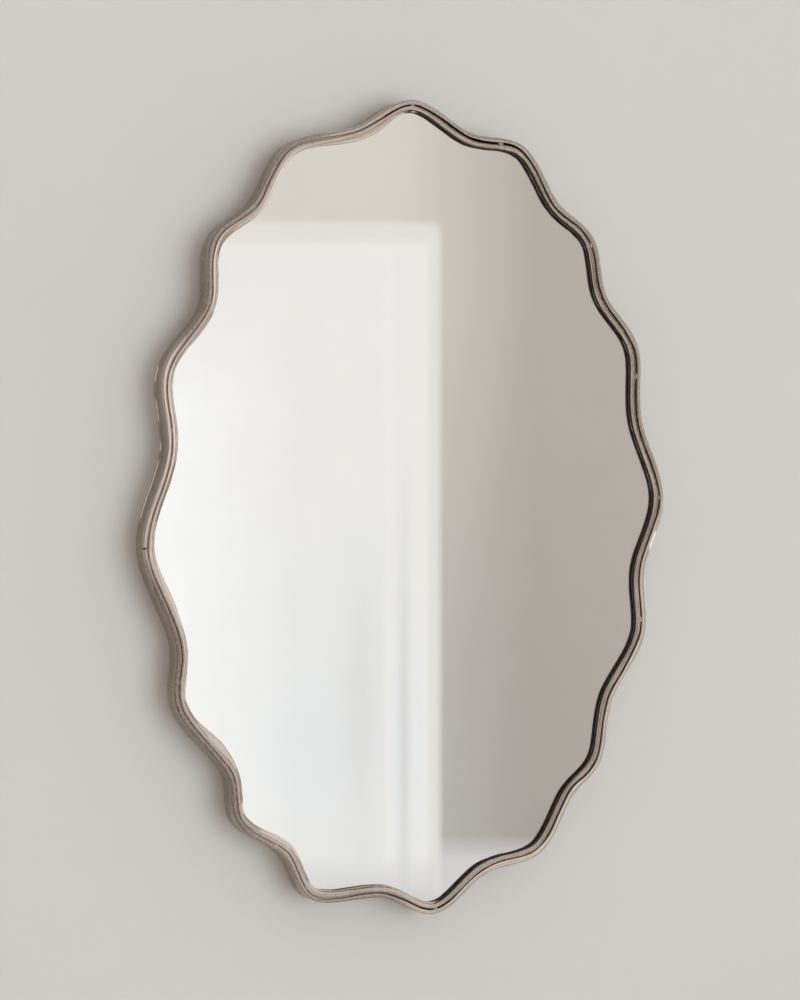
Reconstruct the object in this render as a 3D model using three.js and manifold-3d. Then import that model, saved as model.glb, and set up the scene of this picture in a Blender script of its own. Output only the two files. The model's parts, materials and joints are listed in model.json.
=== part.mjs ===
import * as THREE from "three";
import { mergeVertices } from "three/addons/utils/BufferGeometryUtils.js";
import Module from "manifold-3d";

// A wavy oval wall mirror. Two thin metal bars stand on edge side by side, with a narrow
// groove between them, and follow the same waves round the glass. Small weld ties cross the
// groove. The inner bar carries a lip that the glass lies against, and a backing board with
// two hanging rings closes the back.
//
// Millimetres. X runs to the right, Z up, and the glass looks along -Y. Depths are measured
// backwards from the front of the frame, and offsets outwards from the middle of the groove.

// ---- driving sizes -------------------------------------------------------------------

// The oval that the middle of the groove swings about.
const OVAL_WIDTH = 602;
const OVAL_HEIGHT = 888;

// One row for each wave, clockwise from the top: the direction of its crest in degrees, how
// far the crest stands outside the oval, then the same for the trough that follows it.
const WAVES = [
  [0, 8, 14, -13],
  [25.5, 7, 37.5, -10],
  [46.5, 2, 56, -15],
  [65.5, 2, 76.5, -12],
  [88.5, 8, 99.5, -13],
  [109.5, 0, 120.5, -17],
  [130.5, 0, 138.5, -8],
  [150, 6, 162, -14],
  [175, 9, 187, -11],
  [201, 16.5, 210.5, -4.5],
  [220.5, 9, 228.5, -12],
  [241, 8, 250.5, -11],
  [264.5, 10, 278, -15],
  [289.5, 3, 300.5, -20],
  [310.5, 3.5, 320, -12],
  [332, 5, 346.5, -13],
];
const STEPS_PER_HALF_WAVE = 6;

// The frame's bars.
const GROOVE_WIDTH = 2.2;
const OUTER_BAR_THICKNESS = 4.4;
const OUTER_BAR_DEPTH = 28;
const OUTER_NOSE_DROP = 1.7;
const NOSE_SHOULDER_DROP = 0.4;
const NOSE_SHOULDER_SPREAD = 2.2;
const INNER_BAR_THICKNESS = 4.6;
const INNER_BEAD_WIDTH = 1.5;
const INNER_SLOPE_DROP = 2.4;
const EDGE_ROUNDING = 0.5;
const BUTT_GAP = 0.3;

// The weld ties across the groove, placed by wave number: 0 is the top crest, 0.5 the
// trough after it. The four at the butt joints stand at the crests where bars meet.
const TIE_PLACES = [0.8, 2, 3.18, 4.9, 9.15, 9.65, 10.3, 11.2, 12.65, 13.5, 14.45];
const TIE_LENGTH = 5.5;
const TIE_SETBACK = 1.2;
const TIE_REACH = 14;
const WELD_CLEARANCE = 0.25;

// The lip in front of the glass. It is wider where the hand-formed waves run off line:
// each row gives the middle in wave numbers, the extra width and the half length in waves.
const LIP_SETBACK = 3.6;
const LIP_THICKNESS = 1.2;
const LIP_WIDTH = 2;
const LIP_WIDE_SPOTS = [
  [9.55, 2, 0.3],
  [10.68, 4.5, 0.25],
  [11.75, 3, 0.25],
  [15.6, 3.5, 0.35],
];

// The glass, the foam it lies on and the board behind it.
const FOAM_THICKNESS = 0.8;
const FOAM_WIDTH = 1.2;
const GLASS_THICKNESS = 4;
const GLASS_EDGE_CLEARANCE = 0.6;
const BOARD_THICKNESS = 9;
const BOARD_EDGE_CLEARANCE = 1;

// The tabs that keep the board in, welded to the back of the inner bar.
const TAB_PLACES = [1.5, 4.5, 7.5, 8.5, 11.5, 14.5];
const TAB_WIDTH = 16;
const TAB_LENGTH = 26;
const TAB_THICKNESS = 2;
const TAB_SCREW_INSET = 18;

// The screws, all alike.
const SCREW_SHANK_DIAMETER = 3.2;
const SCREW_HEAD_DIAMETER = 7;
const SCREW_HEAD_HEIGHT = 1.8;
const SCREW_DOME_DIAMETER = 5.6;
const SCREW_DOME_HEIGHT = 0.45;
const SCREW_DEPTH_IN_BOARD = 7.5;
const SCREW_TIP_LENGTH = 2.5;
const SCREW_CLEARANCE = 0.15;

// The hangers: a strap with a rolled eye, and a D-shaped ring that swings in the eye.
const HANGER_SPREAD = 300;
const HANGER_BELOW_TOP = 194;
const STRAP_WIDTH = 14;
const STRAP_THICKNESS = 1.5;
const STRAP_LENGTH = 47;
const STRAP_SCREW_INSET = 7;
const STRAP_SCREW_SPACING = 13;
const RING_WIRE_DIAMETER = 3;
const RING_CLEAR_WIDTH = 21;
const RING_DROP = 18;
const RING_CORNER_RADIUS = 3.5;
const RING_EYE_CLEARANCE = 0.25;

// The rubber feet that keep the frame off the wall, two low down and two near the top.
const LOWER_FOOT_SPREAD = 330;
const LOWER_FOOT_ABOVE_BOTTOM = 189;
const UPPER_FOOT_SPREAD = 220;
const UPPER_FOOT_BELOW_TOP = 114;
const FOOT_BASE_DIAMETER = 16;
const FOOT_END_DIAMETER = 12;
const FOOT_ROUNDING = 1;
const WALL_CLEARANCE = 1;

// Facets of the small round pieces.
const ROUND_STEPS = 12;
const WIRE_SIDES = 8;
const RING_STEPS = 32;

// ---- places that follow from the sizes --------------------------------------------------

const grooveEdge = GROOVE_WIDTH / 2;
const outerFace = grooveEdge + OUTER_BAR_THICKNESS;
const innerFace = -grooveEdge - INNER_BAR_THICKNESS;
const lipFoot = innerFace - WELD_CLEARANCE;
const glassEdge = innerFace - GLASS_EDGE_CLEARANCE;
const boardEdge = innerFace - BOARD_EDGE_CLEARANCE;
const foamFront = LIP_SETBACK + LIP_THICKNESS;
const glassFront = foamFront + FOAM_THICKNESS;
const glassBack = glassFront + GLASS_THICKNESS;
const boardBack = glassBack + BOARD_THICKNESS;
const wallPlane = OUTER_BAR_DEPTH + WALL_CLEARANCE;
const eyeRadius = RING_WIRE_DIAMETER / 2 + RING_EYE_CLEARANCE + STRAP_THICKNESS;
const pivotDepth = boardBack + eyeRadius;
const lowerScrewBelowEye = STRAP_LENGTH - STRAP_SCREW_INSET;
const strapScrewsBelowEye = [lowerScrewBelowEye - STRAP_SCREW_SPACING, lowerScrewBelowEye];
const hangerHeight = OVAL_HEIGHT / 2 - HANGER_BELOW_TOP;
const upperFootHeight = OVAL_HEIGHT / 2 - UPPER_FOOT_BELOW_TOP;
const lowerFootHeight = LOWER_FOOT_ABOVE_BOTTOM - OVAL_HEIGHT / 2;

const waveCount = WAVES.length;
const stepsPerWave = 2 * STEPS_PER_HALF_WAVE;
const stepCount = waveCount * stepsPerWave;

// ---- materials ----------------------------------------------------------------------------

function finish(color, roughness, metalness) {
  return new THREE.MeshStandardMaterial({ color, roughness, metalness });
}

const nickel = finish(0xb5aca4, 0.32, 1);
const paleWeld = finish(0xcfc6bd, 0.45, 1);
const silvered = finish(0xeceeed, 0.03, 1);
const foam = finish(0x2b2b2b, 0.95, 0);
const fibreboard = finish(0x9a7c5c, 0.85, 0);
const zinc = finish(0xc2c5c6, 0.4, 1);
const rubber = finish(0x3a3a3c, 0.8, 0);

// ---- solids -------------------------------------------------------------------------------

const wasm = await Module();
wasm.setup();

// Cuts each tool out of a closed geometry.
function cut(geometry, tools) {
  const asSolid = (source) => {
    const bare = source.clone();
    bare.deleteAttribute("normal");
    bare.deleteAttribute("uv");
    const merged = mergeVertices(bare, 1e-4);
    return new wasm.Manifold(
      new wasm.Mesh({
        numProp: 3,
        vertProperties: new Float32Array(merged.attributes.position.array),
        triVerts: new Uint32Array(merged.index.array),
      }),
    );
  };
  const result = tools.reduce((rest, tool) => rest.subtract(asSolid(tool)), asSolid(geometry));
  const { vertProperties, triVerts } = result.getMesh();
  return new THREE.BufferGeometry()
    .setAttribute("position", new THREE.BufferAttribute(vertProperties, 3))
    .setIndex(new THREE.BufferAttribute(triVerts, 1));
}

// Carries a section along stations. A station is a place { x, z } with an outward normal
// { nx, nz }, and section(index) lists its corners as [offset, depth], anticlockwise when
// offset is drawn to the right and depth upwards.
function sweep(stations, section, closed = false) {
  const positions = [];
  const triangles = [];
  const corners = section(0).length;
  stations.forEach((station, index) => {
    for (const [offset, depth] of section(index)) {
      positions.push(station.x + station.nx * offset, depth, station.z + station.nz * offset);
    }
  });
  const spans = closed ? stations.length : stations.length - 1;
  for (let span = 0; span < spans; span++) {
    const here = span * corners;
    const there = ((span + 1) % stations.length) * corners;
    for (let corner = 0; corner < corners; corner++) {
      const next = (corner + 1) % corners;
      triangles.push(here + corner, there + corner, there + next);
      triangles.push(here + corner, there + next, here + next);
    }
  }
  if (!closed) {
    const first = section(0).map(([offset, depth]) => new THREE.Vector2(offset, depth));
    const end = (stations.length - 1) * corners;
    for (const [a, b, c] of THREE.ShapeUtils.triangulateShape(first, [])) {
      triangles.push(a, b, c);
      triangles.push(end + c, end + b, end + a);
    }
  }
  const geometry = new THREE.BufferGeometry();
  geometry.setAttribute("position", new THREE.Float32BufferAttribute(positions, 3));
  geometry.setIndex(triangles);
  return geometry;
}

// Turns a geometry that was extruded along Z so that its thickness runs from front to back.
function standUp(geometry, back) {
  return geometry.rotateX(Math.PI / 2).translate(0, back, 0);
}

// ---- the wavy line --------------------------------------------------------------------------

// A point of the oval in a direction, moved out along the oval's normal.
function besideOval(degrees, rise) {
  const angle = THREE.MathUtils.degToRad(degrees);
  const halfWidth = OVAL_WIDTH / 2;
  const halfHeight = OVAL_HEIGHT / 2;
  const normal = new THREE.Vector2(Math.sin(angle) / halfWidth, Math.cos(angle) / halfHeight);
  normal.normalize();
  return new THREE.Vector3(
    halfWidth * Math.sin(angle) + normal.x * rise,
    0,
    halfHeight * Math.cos(angle) + normal.y * rise,
  );
}

const turningPoints = WAVES.flatMap(([crest, rise, trough, drop]) => [
  besideOval(crest, rise),
  besideOval(trough, drop),
]);
const wavyLine = new THREE.CatmullRomCurve3(turningPoints, true, "catmullrom", 0.5);

// The station on a clockwise curve in the XZ plane at a share t of its parameter.
function stationOn(curve, t) {
  const point = curve.getPoint(t);
  const tangent = curve.getTangent(t);
  const along = new THREE.Vector2(tangent.x, tangent.z).normalize();
  return { x: point.x, z: point.z, nx: -along.y, nz: along.x };
}

const ringOfStations = Array.from({ length: stepCount }, (_, step) =>
  stationOn(wavyLine, step / stepCount),
);

// The station at a distance along the ring's flat facets from a wave number.
function facetStation(waveNumber, distance = 0) {
  const exact = waveNumber * stepsPerWave;
  const step = distance < 0 ? Math.ceil(exact) - 1 : Math.floor(exact);
  const from = ringOfStations[(step + stepCount) % stepCount];
  if (distance === 0 && step === exact) return from;
  const to = ringOfStations[(step + 1 + stepCount) % stepCount];
  const along = new THREE.Vector2(to.x - from.x, to.z - from.z);
  const reach = (exact - step) * along.length() + distance;
  along.normalize();
  return {
    x: from.x + along.x * reach,
    z: from.z + along.y * reach,
    nx: -along.y,
    nz: along.x,
  };
}

// The wave number at the middle of the facet that a wave number lies on.
function facetMiddle(waveNumber) {
  return (Math.floor(waveNumber * stepsPerWave) + 0.5) / stepsPerWave;
}

// A station moved along the line by a distance, for the trimmed end of a bar.
function shifted(station, distance) {
  return {
    ...station,
    x: station.x + station.nz * distance,
    z: station.z - station.nx * distance,
  };
}

// The stations of one quarter of the frame, trimmed for the butt joints at its ends.
function quarterStations(quarter) {
  const perQuarter = stepCount / 4;
  const stations = [];
  for (let step = 0; step <= perQuarter; step++) {
    stations.push(ringOfStations[(quarter * perQuarter + step) % stepCount]);
  }
  stations[0] = shifted(stations[0], BUTT_GAP / 2);
  stations[perQuarter] = shifted(stations[perQuarter], -BUTT_GAP / 2);
  return stations;
}

// The outline at an offset from the line, as a flat shape.
function outlineShape(offset) {
  const corners = ringOfStations.map(
    ({ x, z, nx, nz }) => new THREE.Vector2(x + nx * offset, z + nz * offset),
  );
  return new THREE.Shape(corners.reverse());
}

// ---- sections --------------------------------------------------------------------------------

// The outer bar: a rounded front nose, square sides and eased back edges.
function outerBarSection() {
  const middle = (grooveEdge + outerFace) / 2;
  const shoulder = NOSE_SHOULDER_SPREAD / 2;
  return [
    [grooveEdge, OUTER_NOSE_DROP],
    [middle - shoulder, NOSE_SHOULDER_DROP],
    [middle, 0],
    [middle + shoulder, NOSE_SHOULDER_DROP],
    [outerFace, OUTER_NOSE_DROP],
    [outerFace, OUTER_BAR_DEPTH - EDGE_ROUNDING],
    [outerFace - EDGE_ROUNDING, OUTER_BAR_DEPTH],
    [grooveEdge, OUTER_BAR_DEPTH],
  ];
}

// The inner bar: its face rises from the groove to a bead along the glass side.
function innerBarSection() {
  return [
    [innerFace, EDGE_ROUNDING],
    [innerFace + EDGE_ROUNDING, 0],
    [innerFace + INNER_BEAD_WIDTH, EDGE_ROUNDING / 2],
    [-grooveEdge, INNER_SLOPE_DROP],
    [-grooveEdge, boardBack],
    [innerFace, boardBack],
  ];
}

// The extra width of the lip at a wave number, a smooth swelling at each wide spot.
function lipSwelling(waveNumber) {
  return LIP_WIDE_SPOTS.reduce((sum, [middle, extra, halfLength]) => {
    const away = Math.abs(waveNumber - middle) / halfLength;
    return away < 1 ? sum + (extra * (1 + Math.cos(Math.PI * away))) / 2 : sum;
  }, 0);
}

function lipSection(waveNumber) {
  const edge = lipFoot - LIP_WIDTH - lipSwelling(waveNumber);
  return [
    [edge, LIP_SETBACK],
    [lipFoot, LIP_SETBACK],
    [lipFoot, foamFront],
    [edge, foamFront],
  ];
}

function foamSection() {
  return [
    [glassEdge - FOAM_WIDTH, foamFront],
    [glassEdge, foamFront],
    [glassEdge, glassFront],
    [glassEdge - FOAM_WIDTH, glassFront],
  ];
}

// ---- pieces -------------------------------------------------------------------------------------

const mirror = new THREE.Group();

function piece(name, geometry, material, parent = mirror) {
  const mesh = new THREE.Mesh(geometry, material);
  mesh.name = name;
  parent.add(mesh);
  return mesh;
}

// A group at a station, with local X pointing outwards and Y still running to the back.
function groupAt({ x, z, nx, nz }, depth) {
  const group = new THREE.Group();
  group.position.set(x, depth, z);
  group.rotation.y = Math.atan2(-nz, nx);
  mirror.add(group);
  return group;
}

// One screw with its head's underside at Y 0 and its shank running forwards.
function screwGeometry(plateThickness) {
  const shank = SCREW_SHANK_DIAMETER / 2;
  const head = SCREW_HEAD_DIAMETER / 2;
  const length = plateThickness + SCREW_DEPTH_IN_BOARD;
  const profile = [
    [0, -length],
    [shank, -length + SCREW_TIP_LENGTH],
    [shank, 0],
    [head, 0],
    [SCREW_DOME_DIAMETER / 2, SCREW_HEAD_HEIGHT - SCREW_DOME_HEIGHT],
    [0, SCREW_HEAD_HEIGHT],
  ];
  return new THREE.LatheGeometry(
    profile.map(([radius, height]) => new THREE.Vector2(radius, height)),
    ROUND_STEPS,
  );
}

// A round hole's cutter along Y.
function holeCutter(x, z) {
  const radius = SCREW_SHANK_DIAMETER / 2 + SCREW_CLEARANCE;
  const reach = 2 * BOARD_THICKNESS;
  const cutter = new THREE.CylinderGeometry(radius, radius, reach, ROUND_STEPS);
  return cutter.translate(x, 0, z);
}

const quarterNames = ["top_right", "bottom_right", "bottom_left", "top_left"];
const tabNames = ["upper_right", "right", "lower_right", "lower_left", "left", "upper_left"];
const sides = [
  ["left", -1],
  ["right", 1],
];

function makeBars() {
  quarterNames.forEach((name, quarter) => {
    const stations = quarterStations(quarter);
    const firstWave = (quarter * waveCount) / 4;
    const waveAt = (index) => firstWave + index / stepsPerWave;
    piece("outer_bar_" + name, sweep(stations, outerBarSection), nickel);
    piece("inner_bar_" + name, sweep(stations, innerBarSection), nickel);
    piece("glass_lip_" + name, sweep(stations, (index) => lipSection(waveAt(index))), nickel);
  });
}

// One weld tie: a small block that fills the groove along its facet, with its front drawn
// in at both ends like a bead of weld.
function tieGeometry(waveNumber) {
  const halfWidth = grooveEdge - WELD_CLEARANCE;
  const shares = [-0.5, -0.25, 0, 0.25, 0.5];
  const stations = shares.map((share) => facetStation(waveNumber, share * TIE_LENGTH));
  const section = (index) => {
    const atEnd = index === 0 || index === shares.length - 1;
    const front = TIE_SETBACK + (atEnd ? halfWidth : 0);
    return [
      [-halfWidth, front],
      [halfWidth, front],
      [halfWidth, TIE_SETBACK + TIE_REACH],
      [-halfWidth, TIE_SETBACK + TIE_REACH],
    ];
  };
  return sweep(stations, section);
}

function makeTies() {
  TIE_PLACES.forEach((place, index) => {
    piece("weld_tie_" + (index + 1), tieGeometry(facetMiddle(place)), paleWeld);
  });
  ["top", "right", "bottom", "left"].forEach((name, quarter) => {
    piece("joint_tie_" + name, tieGeometry((quarter * waveCount) / 4), paleWeld);
  });
}

function tabStation(place) {
  return facetStation(facetMiddle(place));
}

// Where a tab's screw stands, in the plane of the frame.
function tabScrewPlace(place) {
  const { x, z, nx, nz } = tabStation(place);
  const offset = -grooveEdge - TAB_SCREW_INSET;
  return [x + nx * offset, z + nz * offset];
}

function makeGlassAndBoard() {
  piece("foam_seal", sweep(ringOfStations, foamSection, true), foam);
  const glass = new THREE.ExtrudeGeometry(outlineShape(glassEdge), {
    depth: GLASS_THICKNESS,
    bevelEnabled: false,
  });
  piece("mirror_glass", standUp(glass, glassBack), silvered);
  const blank = new THREE.ExtrudeGeometry(outlineShape(boardEdge), {
    depth: BOARD_THICKNESS,
    bevelEnabled: false,
  });
  const screwPlaces = TAB_PLACES.map(tabScrewPlace);
  for (const [, side] of sides) {
    for (const below of strapScrewsBelowEye) {
      screwPlaces.push([(side * HANGER_SPREAD) / 2, hangerHeight - below]);
    }
  }
  const cutters = screwPlaces.map(([x, z]) => holeCutter(x, z).translate(0, boardBack, 0));
  piece("backing_board", cut(standUp(blank, boardBack), cutters), fibreboard);
}

// A tab: a flat strip from the back of the inner bar over the board, round at its free end.
function tabGeometry() {
  const halfWidth = TAB_WIDTH / 2;
  const straight = TAB_LENGTH - halfWidth;
  const strip = new THREE.Shape();
  strip.moveTo(0, -halfWidth);
  strip.lineTo(0, halfWidth);
  strip.lineTo(-straight, halfWidth);
  strip.absarc(-straight, 0, halfWidth, Math.PI / 2, (3 * Math.PI) / 2, false);
  const plate = new THREE.ExtrudeGeometry(strip, {
    depth: TAB_THICKNESS,
    bevelEnabled: false,
    curveSegments: ROUND_STEPS / 2,
  });
  const hole = holeCutter(-TAB_SCREW_INSET + WELD_CLEARANCE, 0);
  return cut(standUp(plate, TAB_THICKNESS), [hole]);
}

function makeTabs() {
  TAB_PLACES.forEach((place, index) => {
    const station = tabStation(place);
    const group = groupAt(station, boardBack);
    const edge = -grooveEdge - WELD_CLEARANCE;
    const tab = piece("board_tab_" + tabNames[index], tabGeometry(), nickel, group);
    tab.position.x = edge;
    const screw = screwGeometry(TAB_THICKNESS);
    const [x, z] = tabScrewPlace(place);
    const placed = piece("tab_screw_" + tabNames[index], screw, zinc);
    placed.position.set(x, boardBack + TAB_THICKNESS, z);
  });
}

// A strap seen from its side: a plate on the board that rolls round the ring's bar.
function strapGeometry() {
  const eye = RING_WIRE_DIAMETER / 2 + RING_EYE_CLEARANCE;
  const aboveCentre = eyeRadius - STRAP_THICKNESS;
  const meetsPlate = Math.sqrt(eyeRadius ** 2 - aboveCentre ** 2);
  const side = new THREE.Shape();
  side.moveTo(STRAP_LENGTH, 0);
  side.lineTo(0, 0);
  side.absarc(0, eyeRadius, eyeRadius, -Math.PI / 2, -Math.atan2(aboveCentre, meetsPlate), true);
  side.lineTo(STRAP_LENGTH, STRAP_THICKNESS);
  const bore = new THREE.Path();
  bore.absarc(0, eyeRadius, eye, 0, 2 * Math.PI, false);
  side.holes.push(bore);
  const strap = new THREE.ExtrudeGeometry(side, {
    depth: STRAP_WIDTH,
    bevelEnabled: false,
    curveSegments: ROUND_STEPS,
  });
  strap.translate(0, 0, -STRAP_WIDTH / 2).rotateY(Math.PI / 2);
  const holes = strapScrewsBelowEye.map((below) => holeCutter(0, -below));
  return cut(strap, holes);
}

// The middle of the ring's wire: a straight bar in the eye, and a round bow below it.
function ringLine() {
  const halfWidth = (RING_CLEAR_WIDTH + RING_WIRE_DIAMETER) / 2;
  const corner = RING_CORNER_RADIUS;
  const bowCentre = -(RING_DROP - halfWidth);
  const line = new THREE.Path();
  line.moveTo(0, 0);
  line.lineTo(halfWidth - corner, 0);
  line.absarc(halfWidth - corner, -corner, corner, Math.PI / 2, 0, true);
  line.lineTo(halfWidth, bowCentre);
  line.absarc(0, bowCentre, halfWidth, 0, -Math.PI, true);
  line.lineTo(-halfWidth, -corner);
  line.absarc(-halfWidth + corner, -corner, corner, Math.PI, Math.PI / 2, true);
  line.lineTo(0, 0);
  return line;
}

function ringGeometry() {
  const line = ringLine();
  const stations = Array.from({ length: RING_STEPS }, (_, step) => {
    const t = step / RING_STEPS;
    const point = line.getPoint(t);
    const along = line.getTangent(t);
    return { x: point.x, z: point.y, nx: -along.y, nz: along.x };
  });
  const radius = RING_WIRE_DIAMETER / 2;
  const circle = Array.from({ length: WIRE_SIDES }, (_, side) => {
    const angle = (2 * Math.PI * side) / WIRE_SIDES;
    return [radius * Math.cos(angle), radius * Math.sin(angle)];
  });
  return sweep(stations, () => circle, true);
}

function makeHangers() {
  for (const [name, side] of sides) {
    const x = (side * HANGER_SPREAD) / 2;
    const strap = piece("hanger_strap_" + name, strapGeometry(), zinc);
    strap.position.set(x, boardBack, hangerHeight);
    const ring = piece("hanging_ring_" + name, ringGeometry(), zinc);
    ring.position.set(x, pivotDepth, hangerHeight);
    strapScrewsBelowEye.forEach((below, index) => {
      const level = ["upper", "lower"][index];
      const screw = screwGeometry(STRAP_THICKNESS);
      const placed = piece("strap_screw_" + name + "_" + level, screw, zinc);
      placed.position.set(x, boardBack + STRAP_THICKNESS, hangerHeight - below);
    });
  }
}

// A foot: a short rubber cone on the board that reaches the wall.
function footGeometry() {
  const height = wallPlane - boardBack;
  const end = FOOT_END_DIAMETER / 2;
  const profile = [
    [0, 0],
    [FOOT_BASE_DIAMETER / 2, 0],
    [end, height - FOOT_ROUNDING],
    [end - FOOT_ROUNDING, height],
    [0, height],
  ];
  return new THREE.LatheGeometry(
    profile.map(([radius, y]) => new THREE.Vector2(radius, y)),
    ROUND_STEPS,
  );
}

function makeFeet() {
  const rows = [
    ["lower", LOWER_FOOT_SPREAD, lowerFootHeight],
    ["upper", UPPER_FOOT_SPREAD, upperFootHeight],
  ];
  for (const [level, spread, height] of rows) {
    for (const [name, side] of sides) {
      const foot = piece("wall_foot_" + level + "_" + name, footGeometry(), rubber);
      foot.position.set((side * spread) / 2, boardBack, height);
    }
  }
}

makeBars();
makeTies();
makeGlassAndBoard();
makeTabs();
makeHangers();
makeFeet();

// The origin is the middle of the whole mirror's box.
mirror.updateMatrixWorld(true);
const middle = new THREE.Box3().setFromObject(mirror, true).getCenter(new THREE.Vector3());
mirror.position.copy(middle.negate());

export default mirror;
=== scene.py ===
"""Looks and stage for a wavy oval wall mirror in a double-barred nickel frame.

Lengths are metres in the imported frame: X to the right, Z up, and the glass looks along -Y.
"""

import json
import math

import bmesh
import bpy
import numpy as np
from bpy.props import FloatProperty, FloatVectorProperty, PointerProperty
from bpy.types import Operator, Panel, PropertyGroup
from mathutils import Matrix, Vector
from mathutils.geometry import tessellate_polygon


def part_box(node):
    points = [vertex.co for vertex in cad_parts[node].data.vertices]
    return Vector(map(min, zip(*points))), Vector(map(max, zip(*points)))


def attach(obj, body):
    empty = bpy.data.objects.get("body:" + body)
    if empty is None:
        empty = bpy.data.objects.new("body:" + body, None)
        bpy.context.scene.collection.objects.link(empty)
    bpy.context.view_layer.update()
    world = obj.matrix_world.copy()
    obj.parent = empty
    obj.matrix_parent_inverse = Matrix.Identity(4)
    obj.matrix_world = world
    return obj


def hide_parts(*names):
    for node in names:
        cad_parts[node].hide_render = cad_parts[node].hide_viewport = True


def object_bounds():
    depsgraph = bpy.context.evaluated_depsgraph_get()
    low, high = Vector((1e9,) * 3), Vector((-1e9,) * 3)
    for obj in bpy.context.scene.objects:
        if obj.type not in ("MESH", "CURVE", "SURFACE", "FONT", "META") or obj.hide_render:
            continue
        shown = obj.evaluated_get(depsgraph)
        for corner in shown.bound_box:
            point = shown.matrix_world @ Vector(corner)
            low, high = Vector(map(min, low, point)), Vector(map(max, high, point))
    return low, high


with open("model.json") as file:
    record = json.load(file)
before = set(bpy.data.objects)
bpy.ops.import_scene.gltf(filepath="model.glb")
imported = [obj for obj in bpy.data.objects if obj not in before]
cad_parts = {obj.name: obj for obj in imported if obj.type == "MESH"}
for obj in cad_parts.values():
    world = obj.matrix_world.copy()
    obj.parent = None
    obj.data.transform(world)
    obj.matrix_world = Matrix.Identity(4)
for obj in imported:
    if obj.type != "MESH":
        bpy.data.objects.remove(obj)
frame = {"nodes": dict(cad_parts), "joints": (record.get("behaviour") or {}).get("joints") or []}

bl_info = {
    "name": "Wavy Wall Mirror",
    "version": (1, 0, 0),
    "blender": (4, 5, 0),
    "location": "3D View > Sidebar > Mirror",
    "description": "Dresses a wavy wall mirror and sets it on a plain stage",
    "category": "Object",
}

CAD_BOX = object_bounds()
MM = 0.001
QUARTERS = ("top_right", "bottom_right", "bottom_left", "top_left")
STATIONS_PER_WAVE = 12
SIDES = ("left", "right")
STEPS_PER_STATION = 6
FINE_STEP = 0.05


# ---- sizes and colours that a user may change


def shade(name, description, default):
    """A colour setting."""
    return FloatVectorProperty(
        name=name, description=description, default=default, subtype="COLOR",
        size=3, min=0.0, max=1.0,
    )


def length(name, description, default):
    """A length setting in metres."""
    return FloatProperty(
        name=name, description=description, default=default, min=0.0,
        unit="LENGTH", subtype="DISTANCE", precision=5,
    )


def factor(name, description, default):
    """A setting from 0 to 1."""
    return FloatProperty(
        name=name, description=description, default=default, min=0.0, max=1.0, subtype="FACTOR",
    )


class FrameLooks(PropertyGroup):
    """Sizes and colours of the metal frame."""

    nickel: shade("Nickel", "Colour of the polished nickel", (0.72, 0.645, 0.59))
    # The patina colour also paints shade: in the frame's grooves, creases and corners and along stretches
    # that lie in shade.
    patina: shade("Patina", "Colour of the darkened recesses", (0.062, 0.042, 0.030))
    roughness: factor("Roughness", "Roughness of the polished nickel", 0.27)
    wobble: length("Wobble", "Unevenness of the hand-bent bars", 0.20 * MM)
    wander: length("Wander", "How far the groove strays from its line at the front", 0.8 * MM)
    nose_squareness: FloatProperty(
        name="Nose squareness", description="2 is an ellipse, more is squarer", default=3.0, min=2.0,
    )
    back_bead: length("Back bead", "How far the outer wall lies in from the bead at its back", 0.4 * MM)
    overhang: length("Overhang", "How far each bar's front leans over the groove", 0.38 * MM)
    rope_pitch: length("Rope pitch", "Spacing of the fine ribs milled along the inner edge", 1.7 * MM)


class GlassLooks(PropertyGroup):
    """Colours of the glass and its silver."""

    tint: shade("Glass tint", "Colour of the clear glass", (0.990, 0.992, 0.989))
    silver: shade("Silver", "Colour of the silver behind the glass", (0.95, 0.945, 0.94))
    smudges: factor("Smudges", "Roughness where the glass has been wiped", 0.02)


class BackLooks(PropertyGroup):
    """Colours of the pieces behind the glass."""

    board: shade("Board", "Colour of the fibreboard", (0.30, 0.19, 0.105))
    zinc: shade("Zinc", "Colour of the plated hardware", (0.62, 0.63, 0.64))
    rubber: shade("Rubber", "Colour of the wall feet", (0.030, 0.030, 0.033))
    foam: shade("Foam", "Colour of the foam behind the lip", (0.036, 0.024, 0.017))


class StageLooks(PropertyGroup):
    """Light, wall and camera."""

    wall: shade("Wall", "Colour of the painted wall", (0.59, 0.60, 0.60))
    floor: shade("Floor", "Colour of the floor", (0.62, 0.60, 0.57))
    sky_level: factor("Sky level", "Strength of the soft light all round", 0.81)
    sun_strength: FloatProperty(name="Key strength", description="Strength of the key light", default=1.45)
    camera_distance: length("Camera distance", "From the camera to the front of the frame", 3.2)
    camera_turn: FloatProperty(
        name="Camera turn", description="How far the camera stands to the left",
        default=math.radians(22), subtype="ANGLE", unit="ROTATION",
    )
    focal_length: FloatProperty(name="Focal length", description="Millimetres", default=102.95)


# ---- the wavy line


def corners_of(node):
    """The corner points of one of the frame's nodes, as rows of x, y, z."""
    return np.array([v.co[:] for v in frame["nodes"][node].data.vertices], float)


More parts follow.
